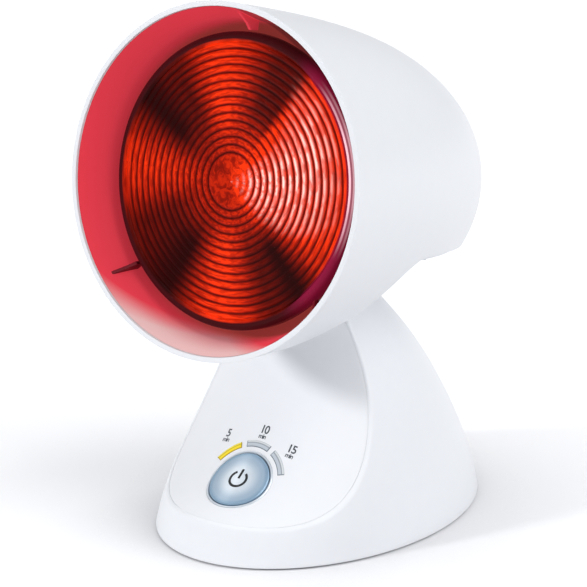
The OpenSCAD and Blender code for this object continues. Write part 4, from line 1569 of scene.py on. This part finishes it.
@dataclass
class Controls:
    """Button, its ring, the three windows and the printed numbers."""

    scoop: Scoop = field(default_factory=Scoop)
    button_radius: float = 13.6
    proud: float = 1.3
    window_radii: tuple[float, float] = (16.9, 19.9)
    window_half_angle: float = 18.5

    def draped(self, piece: bpy.types.Object, lift: float = 0) -> bpy.types.Object:
        """Bends a flat piece onto the scoop and puts it in its place.

        Args:
            piece: A mesh in the button's frame, with its underside at Z = 0.
            lift: How far it stands over the surface, in millimetres.

        Returns:
            The same piece.
        """
        for vertex in piece.data.vertices:
            rise = self.scoop.height(vertex.co.x / MM, vertex.co.y / MM)
            vertex.co.z += (rise + lift) * MM
        settle(piece, self.scoop.place())
        return piece

    def button(self) -> bpy.types.Object:
        """The push button: a shallow dome with a rounded edge and a stem."""
        r = self.button_radius
        outline = [(0, self.proud)]
        outline += [(r * 0.93 * i / 14, self.proud - 0.35 * (i / 14) ** 2) for i in range(1, 15)]
        edge = self.proud - 0.35
        for i in range(1, 7):
            a = math.radians(15 * i)
            outline.append((r * 0.93 + r * 0.07 * math.sin(a), edge - 0.75 * (1 - math.cos(a))))
        outline += [(r, -4), (r - 1.8, -4), (r - 1.8, -1.8), (2.2, -1.8), (2.2, -7.6), (0, -7.6)]
        button = spun("push_button", outline, steps=96)
        shade(button, 40)
        return self.draped_above(button)

    def draped_above(self, piece: bpy.types.Object) -> bpy.types.Object:
        """Bends only the part of a piece over Z = -1 onto the scoop, and puts it in its place."""
        for vertex in piece.data.vertices:
            if vertex.co.z > -1 * MM:
                vertex.co.z += self.scoop.height(vertex.co.x / MM, vertex.co.y / MM) * MM
        settle(piece, self.scoop.place())
        return piece

    def ring(self) -> bpy.types.Object:
        """The thin plated ring round the button."""
        inner, outer = self.button_radius + 0.32, self.button_radius + 1.3
        middle, half = (inner + outer) / 2, (outer - inner) / 2
        outline = [(inner, -7.6), (inner, 0)]
        for i in range(1, 9):
            a = math.radians(180 - 22.5 * i)
            outline.append((middle + half * math.cos(a), 0.4 * math.sin(a)))
        outline += [(outer, -8.4), (2.6, -8.4), (2.6, -7.6), (inner, -7.6)]
        ring = spun("button_ring", outline, steps=128)
        shade(ring, 40)
        return self.draped_above(ring)

    def window(self, name: str, degrees: float) -> bpy.types.Object:
        """One arc-shaped window.

        Args:
            name: Name of the piece.
            degrees: Its middle, from the right, up the slope.

        Returns:
            The window, in place.
        """
        low, high = self.window_radii
        outline = [(low, -1.6), (low, 0.0), (low + 0.15, 0.14), (low + 0.6, 0.22), (high - 0.6, 0.22),
                   (high - 0.15, 0.14), (high, 0.0), (high, -1.6), (low, -1.6)]
        window = spun(name, outline, steps=18, degrees=2 * self.window_half_angle)
        with edit_mode(window, "DESELECT"):
            bpy.ops.mesh.select_non_manifold()
            bpy.ops.mesh.edge_face_add()
        with edit_mode(window):
            bpy.ops.mesh.normals_make_consistent(inside=False)
        settle(window, Matrix.Rotation(math.radians(degrees - self.window_half_angle), 4, "Z"))
        shade(window, 40)
        return self.draped(window)

    def symbol(self) -> bpy.types.Object:
        """The generic power symbol: a broken ring and a bar up the slope."""
        outline = [(3.3, 0), (3.3, 0.1), (4.4, 0.1), (4.4, 0), (3.3, 0)]
        ring = spun("symbol_ring", outline, steps=40, degrees=290)
        with edit_mode(ring, "DESELECT"):
            bpy.ops.mesh.select_non_manifold()
            bpy.ops.mesh.edge_face_add()
        with edit_mode(ring):
            bpy.ops.mesh.normals_make_consistent(inside=False)
        settle(ring, Matrix.Rotation(math.radians(125), 4, "Z"))
        bar = rounded_block("symbol_bar", (-0.55, 0.3, 0), (0.55, 5.1, 0.1), 0.03)
        symbol = joined("power_symbol", [ring, bar])
        for vertex in symbol.data.vertices:
            part = math.hypot(vertex.co.x, vertex.co.y) / (self.button_radius * 0.93 * MM)
            vertex.co.z += (self.proud - 0.35 * part * part) * MM
        return self.draped(symbol, -0.02)

    def label(self, name: str, words: str, radius: float, degrees: float, height: float) -> bpy.types.Object:
        """Printed words, upright up the slope.

        Args:
            name: Name of the piece.
            words: The words, a plain number or unit.
            radius: Distance of their middle from the button's.
            degrees: Angle of their middle, from the right, up the slope.
            height: Height of a digit in millimetres.

        Returns:
            The words as a thin mesh, in place.
        """
        deselect_all()
        bpy.ops.object.text_add(location=(0, 0, 0))
        text = bpy.context.active_object
        text.data.body = words
        text.data.align_x = "CENTER"
        text.data.align_y = "CENTER"
        text.data.size = height * 1.38 * MM
        text.data.space_character = 0.85
        text.data.offset = 0.022 * height * MM
        text.data.extrude = 0.03 * MM
        text.data.resolution_u = 6
        bpy.ops.object.convert(target="MESH")
        label = named(name)
        close_seams(label, recalculate=False)
        a = math.radians(degrees)
        settle(label, Matrix.Translation((radius * MM * math.cos(a), radius * MM * math.sin(a), 0)))
        return self.draped(label, 0.03)

    def build(self) -> None:
        """Builds and dresses the controls."""
        lacquer = ButtonLacquer(
            "metallic_blue_lacquer", "#7C9FBA", roughness=0.3, metallic=0.35, grain_mm=0.35,
            bump_mm=0.002, coat=0.7, place=self.scoop.place(),
        )
        hand_over(self.button(), Body.BUTTON, ("button_cap",), lacquer)
        hand_over(self.symbol(), Body.BUTTON, (), SYMBOL_INK)
        hand_over(self.ring(), Body.BASE, ("button_bezel",), CHROME)
        states = ((5, 135, Lamp.ON), (10, 90, Lamp.OFF), (15, 45, Lamp.OFF))
        for minutes, degrees, state in states:
            finish = FramedAcrylic.for_lamp(state, degrees, self)
            window = self.window(f"window_{minutes}", degrees)
            hand_over(window, Body.BASE, ("light_windows",), finish)
        for words, radius, degrees in (("5", 27.5, 131), ("10", 25.0, 90), ("15", 25.9, 52)):
            a = math.radians(degrees)
            number = self.label(f"number_{words}", words, radius, degrees, 3.6)
            hand_over(number, Body.BASE, (), PRINT_INK)
            x, y = radius * math.cos(a), radius * math.sin(a) - 3.0
            unit = self.label(f"unit_{words}", "min", math.hypot(x, y), math.degrees(math.atan2(y, x)), 2.1)
            hand_over(unit, Body.BASE, (), PRINT_INK)
        dress_node("switch_plunger", PHENOLIC)


# ---- Studio ----


@dataclass
class Studio:
    """Pale floor, soft light and the camera at the photograph's angle."""

    camera_place: tuple[float, float, float] = (663.6, -913.5, 440.1)
    back: tuple[float, float, float] = (0.5701, -0.7682, 0.2912)
    focal_length: float = 168.07

    def floor(self) -> None:
        """A wide pale floor that keeps the shadow."""
        deselect_all()
        bpy.ops.mesh.primitive_plane_add(size=14, location=(0, 0, 0))
        floor = named("studio_floor")
        with edit_mode(floor):
            bpy.ops.mesh.subdivide(number_cuts=3)
        floor.data.materials.append(STUDIO_PAPER.material())

    def camera(self) -> None:
        """The camera, level and without shift."""
        x, y, z = self.camera_place
        back = Vector(self.back).normalized()
        right = Vector((0, 0, 1)).cross(back).normalized()
        up = back.cross(right)
        data = bpy.data.cameras.new("photo_camera")
        data.lens, data.sensor_width, data.sensor_fit = self.focal_length, 36, "HORIZONTAL"
        data.clip_start, data.clip_end = 0.05, 50
        camera = bpy.data.objects.new("photo_camera", data)
        bpy.context.scene.collection.objects.link(camera)
        place = Matrix((right, up, back)).transposed().to_4x4()
        place.translation = Vector((x, y + CENTRE_Y, z)) * MM
        camera.matrix_world = place
        bpy.context.scene.camera = camera

    def sun(
        self, name: str, source: tuple[float, float, float], power: float, spread_degrees: float,
        mirrored: bool = True,
    ) -> None:
        """One wide light from far away.

        Args:
            name: Name of the light.
            source: Where it comes from, as a direction.
            power: Its power in watts per square metre.
            spread_degrees: The angle that it fills.
            mirrored: Whether gloss shows it.
        """
        data = bpy.data.lights.new(name, "SUN")
        data.energy, data.angle = power, math.radians(spread_degrees)
        lamp = bpy.data.objects.new(name, data)
        lamp.visible_glossy = mirrored
        bpy.context.scene.collection.objects.link(lamp)
        lamp.rotation_euler = Vector(source).to_track_quat("Z", "Y").to_euler()

    def world(self) -> None:
        """An even pale world, white where it is seen and duller where it is mirrored."""
        world = bpy.data.worlds.new("studio_world")
        bpy.context.scene.world = world
        world.use_nodes = True
        tree = world.node_tree
        tree.nodes.clear()
        light = add_node(tree, "ShaderNodeBackground", {"Color": linear("#F4F7FD"), "Strength": 0.3})
        seen = add_node(tree, "ShaderNodeBackground", {"Color": (1, 1, 1, 1), "Strength": 1.0})
        path = add_node(tree, "ShaderNodeLightPath")
        through = calc(tree, "MAXIMUM", path.outputs["Is Camera Ray"], path.outputs["Is Transmission Ray"])
        any_seen = calc(tree, "MAXIMUM", through, calc(tree, "MULTIPLY", path.outputs["Is Glossy Ray"], 0.4))
        mixed = add_node(
            tree, "ShaderNodeMixShader", {}, {0: any_seen, 1: light.outputs[0], 2: seen.outputs[0]}
        )
        add_node(tree, "ShaderNodeOutputWorld", {}, {"Surface": mixed.outputs[0]})

    def build(self) -> None:
        """Sets up floor, lights, world and camera."""
        bpy.context.scene.view_settings.view_transform = "Standard"
        self.floor()
        self.camera()
        self.sun("key_light", (-0.49, -0.79, 0.36), 1.5, 8, mirrored=False)
        self.sun("top_light", (-0.3, -0.15, 0.94), 0.6, 50)
        self.sun("side_light", (0.7, 0.1, 0.65), 1.8, 60)
        self.world()


def main() -> None:
    """Builds the lamp in order."""
    logging.basicConfig(level=logging.INFO, format="%(name)s: %(message)s")
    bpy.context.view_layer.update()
    Studio().build()
    Head().build()
    Base().build()
    Controls().build()


if __name__ == "__main__":
    main()
